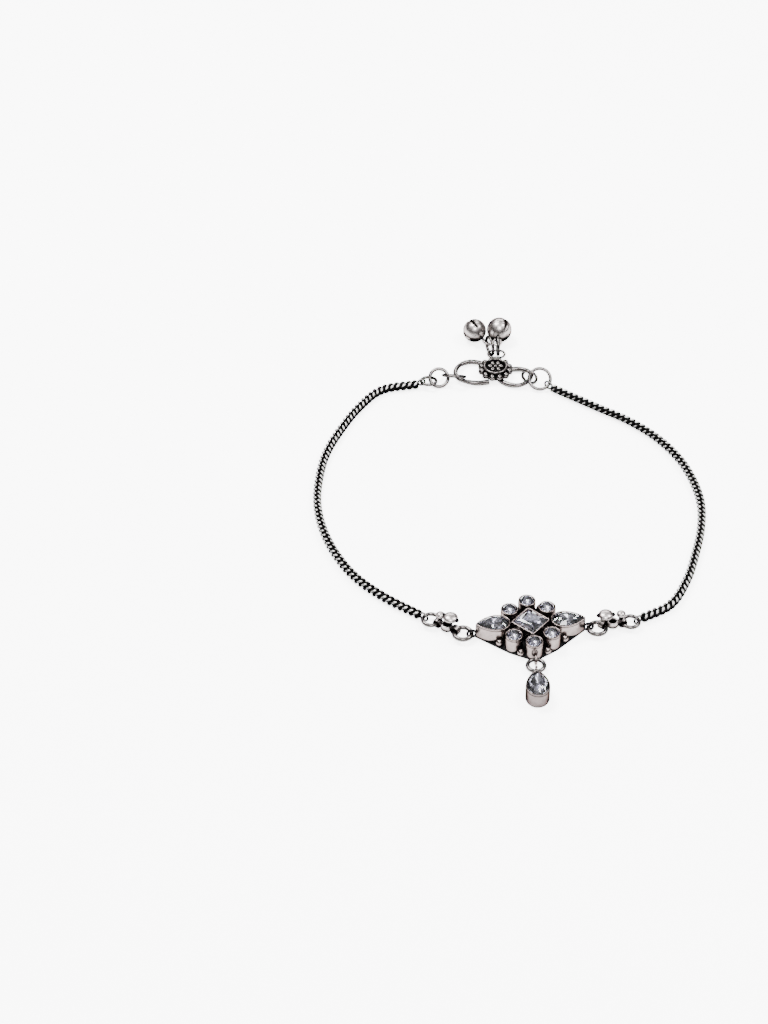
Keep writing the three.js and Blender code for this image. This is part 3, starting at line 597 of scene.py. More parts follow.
def silver(name, bright, dull, dark, worn, roughness, wobble=0.5, edge=0.08):
    """Silver that is bright where it is rubbed and oxidised where it isn't, and darker where its attribute
    holds painted shade. The edge darkens its outline.
    """
    material, tree, shader = nodes_of(name)
    shader.inputs["Metallic"].default_value = 1.0
    shader.inputs["Specular Tint"].default_value = (edge, edge, edge, 1)
    attribute = tree.nodes.new("ShaderNodeAttribute")
    attribute.attribute_name = "rub_and_shade"
    cloud = noise(tree, GRAIN, detail=4)
    patches = maths(tree, "MULTIPLY", maths(tree, "SUBTRACT", cloud, 0.5), wobble)
    wear_and_shade = maths(tree, "ADD", attribute.outputs["Fac"], patches)
    begins, whole = worn
    colour = ramp(tree, wear_and_shade, [(begins, dark), ((begins + whole) / 2, dull), (whole, bright)])
    tree.links.new(colour, shader.inputs["Base Color"])
    rough = ramp(tree, noise(tree, ROUGH_GRAIN, detail=3), list(zip(ROUGH_STOPS, roughness)))
    tree.links.new(rough, shader.inputs["Roughness"])
    bump(tree, shader, noise(tree, SCRATCH_GRAIN, detail=4), *SCRATCH)
    return material


OXIDE = (0.004, 0.0035, 0.0035)
WARM_OXIDE = (0.005, 0.004, 0.004)
BLACK_OXIDE = (0.002, 0.002, 0.002)
SILVER = silver(
    "polished_silver", bright=(0.085, 0.079, 0.077), dull=(0.04, 0.036, 0.035), dark=OXIDE,
    worn=(0.15, 0.75), roughness=(0.12, 0.24),
)
WARM = silver(
    "bezel_silver", bright=(0.165, 0.138, 0.132), dull=(0.085, 0.07, 0.067), dark=WARM_OXIDE,
    worn=(0.0, 0.85), roughness=(0.16, 0.3), edge=0.12,
)
BELL = silver(
    "bell_silver", bright=(0.27, 0.245, 0.24), dull=(0.11, 0.096, 0.093), dark=OXIDE,
    worn=(0.15, 0.75), roughness=(0.24, 0.34),
)
# A darker copy of the bezel silver for the drop cup: painted shade
SHADED_DROP_SILVER = silver(
    "shaded_drop_silver", bright=(0.105, 0.089, 0.086), dull=(0.045, 0.037, 0.036), dark=WARM_OXIDE,
    worn=(0.1, 0.9), roughness=(0.14, 0.26),
)
WEAVE = silver(
    "woven_silver", bright=(0.44, 0.428, 0.417), dull=(0.015, 0.014, 0.013), dark=BLACK_OXIDE,
    worn=(0.63, 1.0), roughness=(0.3, 0.4), wobble=0.1, edge=0.02,
)
BLACK = silver(
    "oxidised_silver", bright=(0.012, 0.011, 0.012), dull=(0.005, 0.005, 0.005), dark=BLACK_OXIDE,
    worn=(0.2, 1.4), roughness=(0.45, 0.6),
)


def crystal(name):
    material, tree, shader = nodes_of(name)
    stops = [(0.35, (0.9, 0.91, 0.97)), (0.65, (0.98, 0.98, 1.0))]
    tint = ramp(tree, noise(tree, scale=0.9, detail=2), stops)
    tree.links.new(tint, shader.inputs["Base Color"])
    shader.inputs["Transmission Weight"].default_value = 1.0
    shader.inputs["Roughness"].default_value = 0.01
    shader.inputs["IOR"].default_value = 1.62
    return material


def foil(name, bright):
    """The stone's back facets, silvered behind the clear crown."""
    material, tree, shader = nodes_of(name)
    shades = [(0.3, (0.3, 0.3, 0.37)), (0.5, (0.55, 0.54, 0.62)), (0.7, (1.0, 0.98, 1.05))]
    stops = [(at, tuple(bright * c for c in shade)) for at, shade in shades]
    tint = ramp(tree, noise(tree, scale=0.7, detail=2), stops)
    tree.links.new(tint, shader.inputs["Base Color"])
    shader.inputs["Metallic"].default_value = 1.0
    shader.inputs["Roughness"].default_value = 0.09
    return material


CRYSTAL = crystal("clear_crystal")
FOIL = foil("foiled_back", 0.62)
DEEP_FOIL = foil("foiled_deep_back", 0.26)


# Front ornament
ORNAMENT = place(*ORNAMENT_CENTRE, 0, 0, ORNAMENT_YAW)
CUP_RIM = PLATE_T + CUP_H
PEAR_X = SQUARE_REACH + PEAR_GAP + PEAR_L / 2
MIDDLE_Y = SQUARE_REACH + MIDDLE_GAP + ROUND_D / 2
SIDE_XY = SQUARE_REACH / 2 + (SIDE_GAP + ROUND_D / 2) / math.sqrt(2)
TIP_X = PEAR_X + PEAR_L / 2
EYE_HOLE = LINK_RING[1] / 2 + LINK_CLEAR
WIRE_Z = EYE_HOLE + EYE_WIRE + FLOOR_CLEAR
TIP_LOOP_X = TIP_X + TIP_LOOP_GAP + LINK_RING[1] / 2
FRONT_LOOP_Y = MIDDLE_Y + ROUND_D / 2 + TIP_LOOP_GAP + DROP_RING[1] / 2

SETTINGS = [
    ("stone_centre", "square", 0, 0, 0),
    ("stone_pear_left", "pear", -PEAR_X, 0, 180),
    ("stone_pear_right", "pear", PEAR_X, 0, 0),
    ("stone_round_front_middle", "round", 0, -MIDDLE_Y, 0),
    ("stone_round_back_middle", "round", 0, MIDDLE_Y, 0),
    ("stone_round_front_left", "round", -SIDE_XY, -SIDE_XY, 0),
    ("stone_round_front_right", "round", SIDE_XY, -SIDE_XY, 0),
    ("stone_round_back_left", "round", -SIDE_XY, SIDE_XY, 0),
    ("stone_round_back_right", "round", SIDE_XY, SIDE_XY, 0),
]


def cup(shape, kind, foot, rim, matrix):
    levels = [(inset, foot + height, wear_and_shade) for inset, height, wear_and_shade in CUP_FOOT]
    levels += [(inset, rim - depth, wear_and_shade) for inset, depth, wear_and_shade in CUP_RIM_DEPTHS]
    loft(shape, OUTLINES[kind], levels, matrix)


def hull(points):
    """The corners of the smallest outline without hollows round the points."""
    points = sorted(set((round(x, 4), round(y, 4)) for x, y in points))

    def half(source):
        out = []
        for p in source:
            while len(out) > 1:
                (ax, ay), (bx, by) = out[-2], out[-1]
                if (bx - ax) * (p[1] - ay) - (by - ay) * (p[0] - ax) > 0:
                    break
                out.pop()
            out.append(p)
        return out

    low = half(points)
    high = half(reversed(points))
    return low[:-1] + high[:-1]


def eye(shape, matrix, hole, wire_d, slot=MAIN):
    torus(shape, hole + wire_d / 2, wire_d, matrix @ place(0, 0, 0, 90), around=36, across=12, slot=slot)


def front_setting():
    """The dark plate with its cups, granules and three loops. The plate's black is its oxide and also paints
    the shade between the cups.
    """
    shape = Shape()
    edge = [(-TIP_X, 0), (TIP_X, 0)]
    for _, kind, x, y, _ in SETTINGS:
        if kind == "round":
            edge += [(x + a, y + b) for a, b in circle(ROUND_D / 2, 36)]
    edge = hull(edge)

    def outline(inset):
        long, wide = PLATE_SHRINK
        return [(x * (1 - inset / long), y * (1 - inset / wide)) for x, y in edge]

    levels = [
        (PLATE_EDGE, 0.0, 0.9), (0.0, PLATE_EDGE, 1.0), (0.0, PLATE_T - PLATE_ROUND, 1.0),
        (PLATE_EDGE, PLATE_T, 0.6),
    ]
    # The near-black plate is oxide and also painted shade deep between the cups
    loft(shape, outline, levels, ORNAMENT, DARK)
    for _, kind, x, y, turn in SETTINGS:
        cup(shape, kind, PLATE_T - LAP, CUP_RIM, ORNAMENT @ place(x, y, 0, 0, turn))
    for gx, gy in (INNER_GRANULE, OUTER_GRANULE):
        for sx in (-1, 1):
            for sy in (-1, 1):
                at = ORNAMENT @ place(sx * gx, sy * gy, PLATE_T + GRANULE_D / 2 - LAP)
                ball(shape, GRANULE_D, at)
    for side in (-1, 1):
        eye(shape, ORNAMENT @ place(side * TIP_LOOP_X, 0, WIRE_Z), EYE_HOLE, EYE_WIRE, DARK)
    eye(shape, ORNAMENT @ place(0, -FRONT_LOOP_Y, WIRE_Z, 0, 90), EYE_HOLE, EYE_WIRE)
    shape.build("front_setting", [WARM, BLACK], ["ornament_setting"], UNDER_WALL)


def around_outline(kind, count, share, offset):
    """A number of corners spaced evenly on a stone's outline, which is scaled by a share."""
    base = OUTLINES[kind](BEZEL_WALL + STONE_CLEAR - STONE_GROW)
    corners = []
    for i in range(count):
        u = ((i + offset) / count) % 1 * len(base)
        a, b = base[int(u) % len(base)], base[(int(u) + 1) % len(base)]
        f = u - int(u)
        corners.append(((a[0] + (b[0] - a[0]) * f) * share, (a[1] + (b[1] - a[1]) * f) * share))
    return corners


def crown_faces(n):
    """Table, star and kite facets and the girdle. The rings of corners start at 0, n, 2 n and 4 n."""
    middle, girdle, lower = n, 2 * n, 4 * n
    faces = [tuple(range(n))]
    for i in range(n):
        k = (i + 1) % n
        after = girdle + (2 * i + 2) % (2 * n)
        faces.append((i, middle + i, k))
        faces.append((k, middle + i, after, middle + k))
        faces.append((middle + i, girdle + 2 * i + 1, after))
        faces.append((middle + i, girdle + 2 * i, girdle + 2 * i + 1))
    for i in range(2 * n):
        k = (i + 1) % (2 * n)
        faces.append((girdle + i, lower + i, lower + k, girdle + k))
    return faces


def back_faces(n):
    """The facets under the girdle, down to the culet. Their rings start at 4 n and 6 n."""
    lower, waist, culet = 4 * n, 6 * n, 7 * n
    faces = []
    for i in range(n):
        k = (i + 1) % n
        faces.append((lower + 2 * i, waist + i, lower + 2 * i + 1))
        faces.append((lower + 2 * i + 1, waist + i, waist + k))
        faces.append((lower + 2 * i + 1, waist + k, lower + (2 * i + 2) % (2 * n)))
        faces.append((waist + i, culet, waist + k))
    return faces


def stone(name, kind, rim, matrix):
    """A cut stone: clear facets above the girdle and foiled ones below it."""
    n = STONE_SIDES[kind]
    half = 0.5 if kind != "square" else 0.0
    rings = [
        (STONE_TABLE, n, half), (STONE_MIDDLE_RING, n, half + 0.5), (STONE_GIRDLE, 2 * n, 2 * half),
        (STONE_LOWER, 2 * n, 2 * half), (STONE_WAIST, n, half),
    ]
    points = []
    for (share, height), count, offset in rings:
        points += [(x, y, rim + height) for x, y in around_outline(kind, count, share, offset)]
    points.append((0, 0, rim + STONE_CULET))
    crown, back = crown_faces(n), back_faces(n)
    shape = Shape()
    shape.add(points, crown + back, matrix, [MAIN] * len(crown) + [DARK] * len(back), flat=True)
    backing = DEEP_FOIL if kind == "pear" else FOIL
    shape.build(name + "_cut", [CRYSTAL, backing], [name])


front_setting()
for stone_name, stone_kind, sx, sy, sturn in SETTINGS:
    stone(stone_name, stone_kind, CUP_RIM, ORNAMENT @ place(sx, sy, 0, 0, sturn))


# Front links
def step_from(at, length, turn):
    x, y = polar(length, turn)
    return (at[0] + x, at[1] + y, WIRE_Z)


def ring(name, size, matrix):
    shape = Shape()
    torus(shape, size[0], size[1], matrix)
    shape.build(name + "_round", [SILVER], [name])


def stadium(x0, x1, r, inset):
    """A long outline between x0 and x1 with half round ends."""
    x0, x1, r = x0 + inset, x1 - inset, r - inset
    right = [polar(r, turn) for turn in range(-90, 91, 15)]
    left = [polar(r, turn) for turn in range(90, 271, 15)]
    return [(x1 - r + x, y) for x, y in right] + [(x0 + r + x, y) for x, y in left]


def curl(shape, x, hole, matrix):
    """A strip wrapped round a wire: a short ribbed tube."""
    half = CURL_WIDTH / 2
    outer = hole + CURL_WALL
    valley = outer - CURL_RIB_H
    steps = CURL_RIBS * CURL_RIB_STEPS
    profile = [(hole, -half), (valley, -half)]
    for i in range(steps + 1):
        y = -half + CURL_RIB_H + (CURL_WIDTH - 2 * CURL_RIB_H) * i / steps
        profile.append((valley + CURL_RIB_H * abs(math.sin(math.pi * CURL_RIBS * i / steps)), y))
    profile += [(valley, half), (hole, half)]
    rows = []
    rub_and_shade = []
    for j in range(CURL_AROUND):
        a = TURN * j / CURL_AROUND
        rows.append([(x + r * math.cos(a), y, r * math.sin(a)) for r, y in profile])
        rub_and_shade += [0.0 if r <= hole else CURL_WEAR + CURL_RIB_WEAR * max(r - valley, 0) for r, y in profile]
    shape.grid(rows, close_rows=True, matrix=matrix, slot=PALE, rub_and_shade=rub_and_shade)


def head(shape, d, h, top, at, matrix):
    """A domed head on a dark neck."""
    middle = top - WIRE_Z - h / 2
    profile = [*NECK_FOOT, (NECK_WAIST[0], middle - NECK_WAIST[1]), (NECK_TOP, middle)]
    rows = [[(at[0] + x, at[1] + y, z) for x, y in circle(NECK_D / 2 * k, sides=20)] for k, z in profile]
    shape.grid(rows, matrix=matrix, slot=DARK, cap=True, rub_and_shade=NECK_WEAR)
    dome = matrix @ place(*at, middle) @ Matrix.Diagonal((1, 1, h / d, 1))
    ball(shape, d, dome, around=40, bands=22, slot=PALE)


def ribbon(shape, matrix):
    """The long narrow ribbon between the curls, and a dark floor in its hollow that paints the hollow's
    shade.
    """
    x0 = LINK_HOLE + CURL_WALL - LAP
    x1 = LINK_LENGTH - FRONT_HOLE - CURL_WALL + LAP
    z0, z1 = -LINK_H / 2, LINK_H / 2
    low, high = z0 + RIBBON_ROUND, z1 - RIBBON_ROUND
    edge, inner = RIBBON_EDGE, LINK_WALL - RIBBON_EDGE
    levels = [
        (edge, z0), (0.0, low), (0.0, high), (edge, z1), (inner, z1), (LINK_WALL, high), (LINK_WALL, low),
        (inner, z0), (edge, z0),
    ]
    rows = [[(x, y, z) for x, y in stadium(x0, x1, LINK_WIDTH / 2, inset)] for inset, z in levels]
    shape.grid(rows, matrix=matrix, slot=PALE, rub_and_shade=[v for v in RIBBON_WEAR for _ in rows[0]])
    # A dark sheet low in the hollow: painted shade
    hollow = stadium(x0, x1, LINK_WIDTH / 2, LINK_WALL / 2)
    rows = [[(x, y, z0 + height) for x, y in hollow] for height in RIBBON_SHADE_FLOOR]
    shape.grid(rows, matrix=matrix, slot=DARK, cap=True, rub_and_shade=RIBBON_SHADE_FLOOR_WEAR)


def button_link(side, start, hold_turn, turn, back):
    shape = Shape()
    here = place(*start, 0, turn)
    curl(shape, 0, LINK_HOLE, place(*start, 0, hold_turn))
    curl(shape, LINK_LENGTH, FRONT_HOLE, here)
    ribbon(shape, here)
    button = (BUTTON_AT[side][0], back * BUTTON_AT[side][1])
    head(shape, BUTTON_D, BUTTON_H, BUTTON_TOP, button, here)
    head(shape, KNOB_D, KNOB_H, KNOB_TOP, (KNOB_AT[0], back * KNOB_AT[1]), here)
    axle_z = BUTTON_TOP - WIRE_Z - BUTTON_H / 2
    for end in (-1, 1):
        nub = here @ place(button[0] + end * (AXLE_L / 2 - AXLE_D / 2), button[1], axle_z)
        ball(shape, AXLE_D, nub, around=20, bands=12, slot=DARK, rub_and_shade=NECK_WEAR)
    shape.build("button_link_" + side + "_bent", [SILVER, BLACK, BELL], ["button_link_" + side])


chain_start = {}
for link_side, sign in (("left", -1), ("right", 1)):
    loop = (ORNAMENT @ place(sign * TIP_LOOP_X, 0, 0)).translation
    link_ring = step_from(loop, LINK_RING[0], LINK_RING_TURN[link_side])
    ring("link_ring_" + link_side, LINK_RING, place(*link_ring))
    link_turn = BUTTON_LINK_TURN[link_side]
    near_eye = step_from(link_ring, LINK_RING[0], LINK_HOLD_TURN[link_side])
    button_link(link_side, near_eye, LINK_HOLD_TURN[link_side], link_turn, sign)
    far_eye = step_from(near_eye, LINK_LENGTH, link_turn)
    front_ring = step_from(far_eye, FRONT_RING[0], link_turn)
    ring("front_ring_" + link_side, FRONT_RING, place(*front_ring))
    chain_start[link_side] = step_from(front_ring, FRONT_RING[0], FRONT_RING_TURN[link_side])


# Drop
front_loop = (ORNAMENT @ place(0, -FRONT_LOOP_Y, 0)).translation
drop_ring = step_from(front_loop, DROP_RING[0], -90)
ring("drop_jump_ring", DROP_RING, place(*drop_ring))
drop_eye = step_from(drop_ring, DROP_RING[0], -90)
drop_frame = place(*drop_eye, 0, -90)
drop_cup_x = TIP_LOOP_GAP + DROP_RING[1] / 2 + DROP_NECK
drop_place = drop_frame @ place(drop_cup_x + DROP_L / 2, 0, 0, 0, 180)
drop_sink = WIRE_Z - FLOOR_CLEAR
drop_rim = DROP_DEPTH - drop_sink
drop_shape = Shape()
cup(drop_shape, "drop", -drop_sink, drop_rim, drop_place)
eye(drop_shape, drop_frame, EYE_HOLE, EYE_WIRE)
neck_ends = [drop_frame @ Vector((x, 0, 0)) for x in (EYE_HOLE + EYE_WIRE / 2, drop_cup_x + BEZEL_WALL)]
wire(drop_shape, neck_ends, EYE_WIRE)
# The drop cup takes the darker silver copy, which paints its shade
drop_shape.build("drop_cup", [SHADED_DROP_SILVER, BLACK], ["drop_setting"], UNDER_WALL)
stone("stone_drop", "drop", drop_rim, drop_place)


# Hook and rosette
def hook_radius(u):
    """The hook's radius at a share of its length."""
    away = min(abs(u - at) - half for at, half in HOOK_HELD)
    fuller = HOOK_FULLER * min(max(away / HOOK_FULLER_EASE, 0), 1)
    begins, ends = HOOK_RIBBED
    rib = HOOK_RIB_DEPTH * (math.sin(HOOK_RIB_RATE * u) - 1) if begins < u < ends else 0
    return HOOK_WIRE / 2 * (1 + fuller + rib)


def petals(shape, matrix):
    """The flower on the rosette: petals round a bud."""
    squeeze = Matrix.Diagonal((1, PETAL_NARROW, 2 * PETAL_H / PETAL_D, 1))
    for i in range(PETALS):
        x, y = polar(PETAL_D * PETAL_OUT, 360 * i / PETALS)
        ball(shape, PETAL_D, matrix @ place(x, y, 0, 0, 360 * i / PETALS) @ squeeze, around=20, bands=12)
    ball(shape, PETAL_D * BUD_SHARE, matrix @ squeeze, around=20, bands=12)


def rosette(shape, matrix):
    """A dark plate with a ring of beads, and a boss with its rim and flower."""
    bead_ring = ROSETTE_D / 2 - ROSETTE_BEAD_D / 2
    levels = [
        (ROSETTE_ROUND, 0, 0.5), (0, ROSETTE_FOOT, 0.6), (0, ROSETTE_PLATE_T - ROSETTE_ROUND, 0.6),
        (ROSETTE_ROUND, ROSETTE_PLATE_T, 0.4),
    ]
    loft(shape, lambda inset: circle(bead_ring - inset, ROSETTE_SIDES), levels, matrix, DARK)
    for i in range(ROSETTE_BEADS):
        x, y = polar(bead_ring, 360 * (i + 0.5) / ROSETTE_BEADS)
        ball(shape, ROSETTE_BEAD_D, matrix @ place(x, y, ROSETTE_PLATE_T), around=20, bands=12)
    top = ROSETTE_PLATE_T + ROSETTE_BOSS_H
    levels = [(0.0, BOSS_ROUND, 0.3), (0.0, top - BOSS_ROUND, 0.6), (BOSS_ROUND, top, 0.2)]
    loft(shape, lambda inset: circle(ROSETTE_BOSS_D / 2 - inset, ROSETTE_SIDES), levels, matrix, DARK)
    torus(shape, ROSETTE_RIM_D / 2, ROSETTE_RIM_WIRE, matrix @ place(0, 0, top), ROSETTE_SIDES, across=12)
    petals(shape, matrix @ place(0, 0, top))


def back_loop(shape, z):
    """The long loop behind the rosette that the bells' rings hang in."""
    points = []
    for i in range(BACK_LOOP_SIDES):
        x, y = polar(BACK_LOOP_R, -90 + 360 / BACK_LOOP_SIDES * i)
        points.append((BACK_LOOP_X + x + math.copysign(BACK_LOOP_HALF, x), BACK_LOOP_Y + y, z))
    wire(shape, points, EYE_WIRE / 2, closed=True)


def hook_clasp():
    shape = Shape()
    wire(shape, even(catmull(HOOK_POINTS, per=12), HOOK_STEP), hook_radius, across=16)
    plate_z = HOOK_WIRE - LAP
    rosette(shape, place(*ROSETTE_CENTRE, plate_z))
    back_loop(shape, plate_z + ROSETTE_PLATE_T + EYE_WIRE / 2)
    shape.build("hook_with_rosette", [SILVER, BLACK], ["hook_clasp"])


hook_clasp()
for ring_name, (ring_size, ring_at, lean, turn) in CLASP_PLACES.items():
    ring(ring_name, ring_size, place(*ring_at, lean, turn))


# Bells
def bell_ring_centre(b):
    x, y = polar(BELL_RING[0], b["turn"])
    z = BELL_RING[0] + BELL_RING[1] / 2 + FLOOR_CLEAR
    return Vector((b["ring_x"] + x, BACK_LOOP_Y + RING_SHIFT + y, z))


def bell_skin(shape, r, matrix):
    """The round bell with its crossing slits pressed in and a seam round its middle."""
    rows = []
    rub_and_shade = []
    for j in range(BELL_BANDS + 1):
        a = math.pi * j / BELL_BANDS
        row = []
        for i in range(BELL_AROUND):
            c = TURN * i / BELL_AROUND
            p = Vector((r * math.sin(a) * math.cos(c), r * math.sin(a) * math.sin(c), -r * math.cos(a)))
            near = min(abs(p.x + p.y), abs(p.x - p.y)) / math.sqrt(2)
            deep = p.z < BELL_SLIT_REACH * r and near < BELL_SLIT
            lip = p.z < 0 and near < BELL_SLIT * BELL_LIP
            seam = abs(p.z - BELL_SEAM[0]) < BELL_SEAM[1]
            row.append(p * (BELL_SLIT_DEPTH if deep else BELL_SEAM_DEPTH if seam else 1.0))
            rub_and_shade.append(0.0 if deep else BELL_LIP_WEAR if lip else 1.0)
        rows.append(row)
    shape.grid(rows, matrix=matrix, rub_and_shade=rub_and_shade)


def bell(side, b):
    shape = Shape()
    r = b["d"] / 2
    centre = Vector((*b["at"], r + FLOOR_CLEAR))
    x, y = polar(BELL_RING[0] * math.cos(rad(BELL_HOLD)), b["turn"])
    held = bell_ring_centre(b) + Vector((x, y, -BELL_RING[0] * math.sin(rad(BELL_HOLD))))
    towards = held - centre
    reach = towards.length
    turn = Vector((0, 0, 1)).rotation_difference(towards.normalized()).to_matrix().to_4x4()
    here = Matrix.Translation(centre) @ turn
    bell_skin(shape, r, here)
    neck = (r - BELL_NECK_LAP[0], reach - BELL_HOLE - BELL_NECK_LAP[1])
    wire(shape, [here @ Vector((0, 0, z)) for z in neck], EYE_WIRE * BELL_NECK, slot=DARK)
    eye(shape, here @ place(0, 0, reach), BELL_HOLE, EYE_WIRE)
    shape.build("bell_" + side + "_round", [BELL, BLACK], ["bell_" + side])
    ring("bell_ring_" + side, BELL_RING, place(*bell_ring_centre(b), 90, b["turn"]))


for bell_side, bell_size in BELLS.items():
    bell(bell_side, bell_size)


# Woven strands
def held_at(place_row, turn):
    """The point on a clasp ring's wire where an eye holds it."""
    size, at, lean, around = place_row
    x, y = polar(size[0], turn)
    return place(*at, lean, around) @ Vector((x, y, 0))


BACK_EYE = {
    "left": held_at(CLASP_PLACES["back_ring_left"], BACK_HOLD_TURN["left"]),
    "right": held_at(CLASP_PLACES["back_ring_right"], BACK_HOLD_TURN["right"]),
}
BACK_HOLE = {
    "left": BACK_RING[1] / 2 + LINK_CLEAR,
    "right": WIDE_RING[1] / 2 + LINK_CLEAR + RIGHT_EYE_EXTRA,
}


class Route:
    """The middle line of a strand, measured along its length."""

    def __init__(self, start_eye, points, end_eye, start_reach, end_reach):
        inner = [Vector((x, y, CHAIN_Z)) for x, y in points]
        start = Vector((start_eye[0], start_eye[1], CHAIN_Z))
        end = Vector((end_eye[0], end_eye[1], CHAIN_Z))
        start += (inner[0] - start).normalized() * start_reach
        end += (inner[-1] - end).normalized() * end_reach
        line = np.array([tuple(p) for p in catmull([start, *inner, end], ROUTE_STEPS)])
        self.line = line
        self.s = np.concatenate([[0], np.cumsum(np.linalg.norm(np.diff(line, axis=0), axis=1))])
        self.length = float(self.s[-1])

    def point(self, s):
        inside = min(max(s, 0), self.length)
        p = np.array([np.interp(inside, self.s, self.line[:, k]) for k in range(3)])
        return Vector(p.tolist())

    def frame(self, s):
        p = self.point(s)
        a = self.point(s - ROUTE_REACH)
        b = self.point(s + ROUTE_REACH)
        t = (b - a).normalized()
        inside = min(max(s, 0), self.length)
        p = p + t * (s - inside)
        side = t.cross(Vector((0, 0, 1))).normalized()
        return p, t, side, side.cross(t).normalized()


def around_strand(route, s, angle, r):
    p, _, side, up = route.frame(s)
    a = rad(angle)
    return p + side * (r * math.sin(a)) + up * (r * math.cos(a))


def lobe(shape, route, s0, angle0, turn_at, rng):
    """One loop of the weave: a fat wire arched from one seam to the next, on a slant."""
    crest = CHAIN_D / 2 - LOBE_T * LOBE_OUT
    width = LOBE_W * (1 + rng.uniform(-LOBE_W_SPREAD, LOBE_W_SPREAD))
    s0 += rng.uniform(-LOBE_S_SPREAD, LOBE_S_SPREAD)
    step, step_turn = LOBE_AHEAD
    rows, rub_and_shade = [], []
    for j in range(LOBE_ALONG + 1):
        t = -1 + 2 * j / LOBE_ALONG
        t = math.sin(t * math.pi / 2) if abs(t) < 1 else t
        angle = angle0 + turn_at(s0) + LOBE_HALF_TURN * t
        s = s0 - t * LOBE_SLANT * CHAIN_PITCH
        arch = crest * (1 - LOBE_DIP * t * t)
        fullness = max(max(1 - abs(t) ** LOBE_BLUNT, 0.0) ** 0.5, LOBE_TIP)
        centre = around_strand(route, s, angle, arch)
        ahead = around_strand(route, s - step * LOBE_SLANT, angle + step_turn, arch)
        _, _, side, up = route.frame(s)
        out = side * math.sin(rad(angle)) + up * math.cos(rad(angle))
        across = out.cross((ahead - centre).normalized()).normalized()
        row = []
        for i in range(LOBE_ACROSS):
            b = TURN * i / LOBE_ACROSS
            wide, high = width * fullness * math.cos(b), LOBE_T * fullness * math.sin(b)
            row.append(centre + across * wide + out * high)
            height = (0.5 + 0.5 * math.sin(b)) * LOBE_WEAR
            rub_and_shade.append(min(1.0, height) * (1 - LOBE_END_WEAR * abs(t) ** 3))
        rows.append(row)
    shape.grid(rows, cap=True, rub_and_shade=rub_and_shade)


def strand(side, start_eye, end_eye, start_hole, end_hole, turn_at):
    """Four rows of lobes round a dark core, with an eye at both ends."""
    shape = Shape()
    reach = CHAIN_EYE_WIRE - LAP
    route = Route(start_eye, CHAIN_POINTS[side], end_eye, start_hole + reach, end_hole + reach)
    rng = random.Random(side)
    margin = CHAIN_PITCH / 2
    count = int((route.length - 2 * margin) / CHAIN_PITCH)
    pitch = (route.length - 2 * margin) / count
    for n in range(count + 1):
        for row in range(LOBE_ROWS):
            lobe(shape, route, margin + n * pitch, 360 * row / LOBE_ROWS, turn_at, rng)
    steps = int(route.length / CORE_STEP)
    rows = []
    for j in range(steps + 1):
        s = route.length * j / steps
        rows.append([around_strand(route, s, 360 * i / CORE_SIDES, CORE_R) for i in range(CORE_SIDES)])
    shape.grid(rows, cap=True, slot=DARK, rub_and_shade=CORE_WEAR)
    for eye_at, s, hole in ((start_eye, 0, start_hole), (end_eye, route.length, end_hole)):
        _, t, _, _ = route.frame(s)
        turn = math.degrees(math.atan2(t.y, t.x))
        eye(shape, place(*eye_at, 0, turn), hole, CHAIN_EYE_WIRE)
    shape.build("chain_" + side + "_weave", [WEAVE, BLACK], ["chain_" + side])


def left_turn(s):
    return ROW_TURN


def right_turn(s):
    """The rows of the right strand turn slowly on its way back."""
    return ROW_TURN * (1 - min(max((s - TWIST_FROM) / TWIST_LENGTH, 0), 1))


strand("left", BACK_EYE["left"], chain_start["left"], BACK_HOLE["left"], FRONT_HOLE, left_turn)
strand("right", chain_start["right"], BACK_EYE["right"], FRONT_HOLE, BACK_HOLE["right"], right_turn)


# Floor, light and camera
FLOOR_HALF = 3.0
FLOOR_DROP = 0.00002
FLOOR_GLOW = 4.2
# Area lights in metres: name, place, aimed at, width, height, watts
LIGHTS = [
    ("key", (-0.25, 0.2, 0.6), (0, 0, 0), 0.24, 0.24, 11),
    ("fill", (0.35, 0.05, 0.55), (0, 0, 0), 0.2, 0.2, 6),
    ("front", (0.0, -0.35, 0.6), (0, -0.03, 0), 0.25, 0.25, 7),
    ("back", (0.0, 0.75, 0.47), (0, 0, 0), 0.6, 0.16, 7),
]
# The sky's brightness from straight below to straight above
SKY = [(0.0, 0.1), (0.1, 0.03), (0.5, 0.05), (0.62, 1.2), (0.75, 0.4), (0.9, 1.5), (1.0, 2.5)]
# The photo's camera in the drawing frame: distance and sideways shift in millimetres
CAMERA_DISTANCE = 600.0
CAMERA_ELEVATION = rad(41)
CAMERA_X = -26.98
FOCAL_PX = 2802.0
PHOTO_H_PX = 1024
SENSOR_H = 24.0


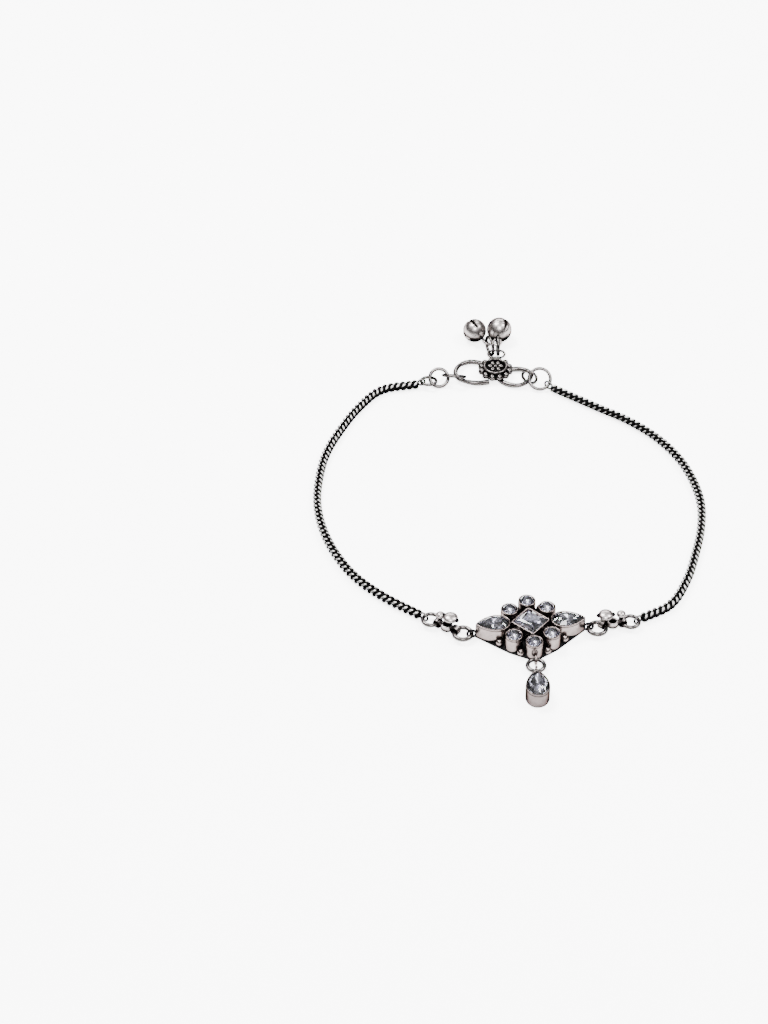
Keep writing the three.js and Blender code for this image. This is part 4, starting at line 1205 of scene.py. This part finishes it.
def floor():
    mesh = bpy.data.meshes.new("floor")
    r = FLOOR_HALF
    mesh.from_pydata([(-r, -r, 0), (r, -r, 0), (r, r, 0), (-r, r, 0)], [], [(0, 1, 2, 3)])
    material, tree, shader = nodes_of("pale_floor")
    tint = ramp(tree, noise(tree, scale=0.02, detail=2), [(0.3, 0.93), (0.7, 0.95)])
    tree.links.new(tint, shader.inputs["Base Color"])
    shader.inputs["Roughness"].default_value = 0.9
    shader.inputs["Specular IOR Level"].default_value = 0.2
    shader.inputs["Emission Color"].default_value = (1, 1, 1, 1)
    shader.inputs["Emission Strength"].default_value = FLOOR_GLOW
    mesh.materials.append(material)
    piece = bpy.data.objects.new("floor", mesh)
    piece.location.z = -FLOOR_DROP
    bpy.context.scene.collection.objects.link(piece)


def area(name, at, towards, width, height, watts):
    """An area light that shines from one place towards another."""
    light = bpy.data.lights.new(name, "AREA")
    light.energy = watts
    light.size = width
    if height != width:
        light.shape = "RECTANGLE"
        light.size_y = height
    piece = bpy.data.objects.new(name, light)
    piece.location = at
    piece.rotation_euler = (Vector(towards) - Vector(at)).to_track_quat("-Z", "Y").to_euler()
    bpy.context.scene.collection.objects.link(piece)


def camera():
    data = bpy.data.cameras.new("camera")
    data.sensor_fit = "VERTICAL"
    data.sensor_height = SENSOR_H
    data.lens = FOCAL_PX / PHOTO_H_PX * SENSOR_H
    data.clip_start = 0.01
    data.clip_end = 20
    piece = bpy.data.objects.new("camera", data)
    back = -CAMERA_DISTANCE * math.cos(CAMERA_ELEVATION)
    at = Vector((CAMERA_X, back, CAMERA_DISTANCE * math.sin(CAMERA_ELEVATION)))
    piece.location = (at + Vector(SHIFT)) * MM
    piece.rotation_euler = (math.pi / 2 - CAMERA_ELEVATION, 0, 0)
    bpy.context.scene.collection.objects.link(piece)
    bpy.context.scene.camera = piece


def world():
    sky = bpy.data.worlds.new("studio")
    sky.use_nodes = True
    bpy.context.scene.world = sky
    tree = sky.node_tree
    background = tree.nodes["Background"]
    where = tree.nodes.new("ShaderNodeTexCoord")
    split = tree.nodes.new("ShaderNodeSeparateXYZ")
    tree.links.new(where.outputs["Generated"], split.inputs["Vector"])
    tree.links.new(ramp(tree, split.outputs["Z"], SKY), background.inputs["Color"])
    background.inputs["Strength"].default_value = 1.0


floor()
for light_row in LIGHTS:
    area(*light_row)
world()
camera()
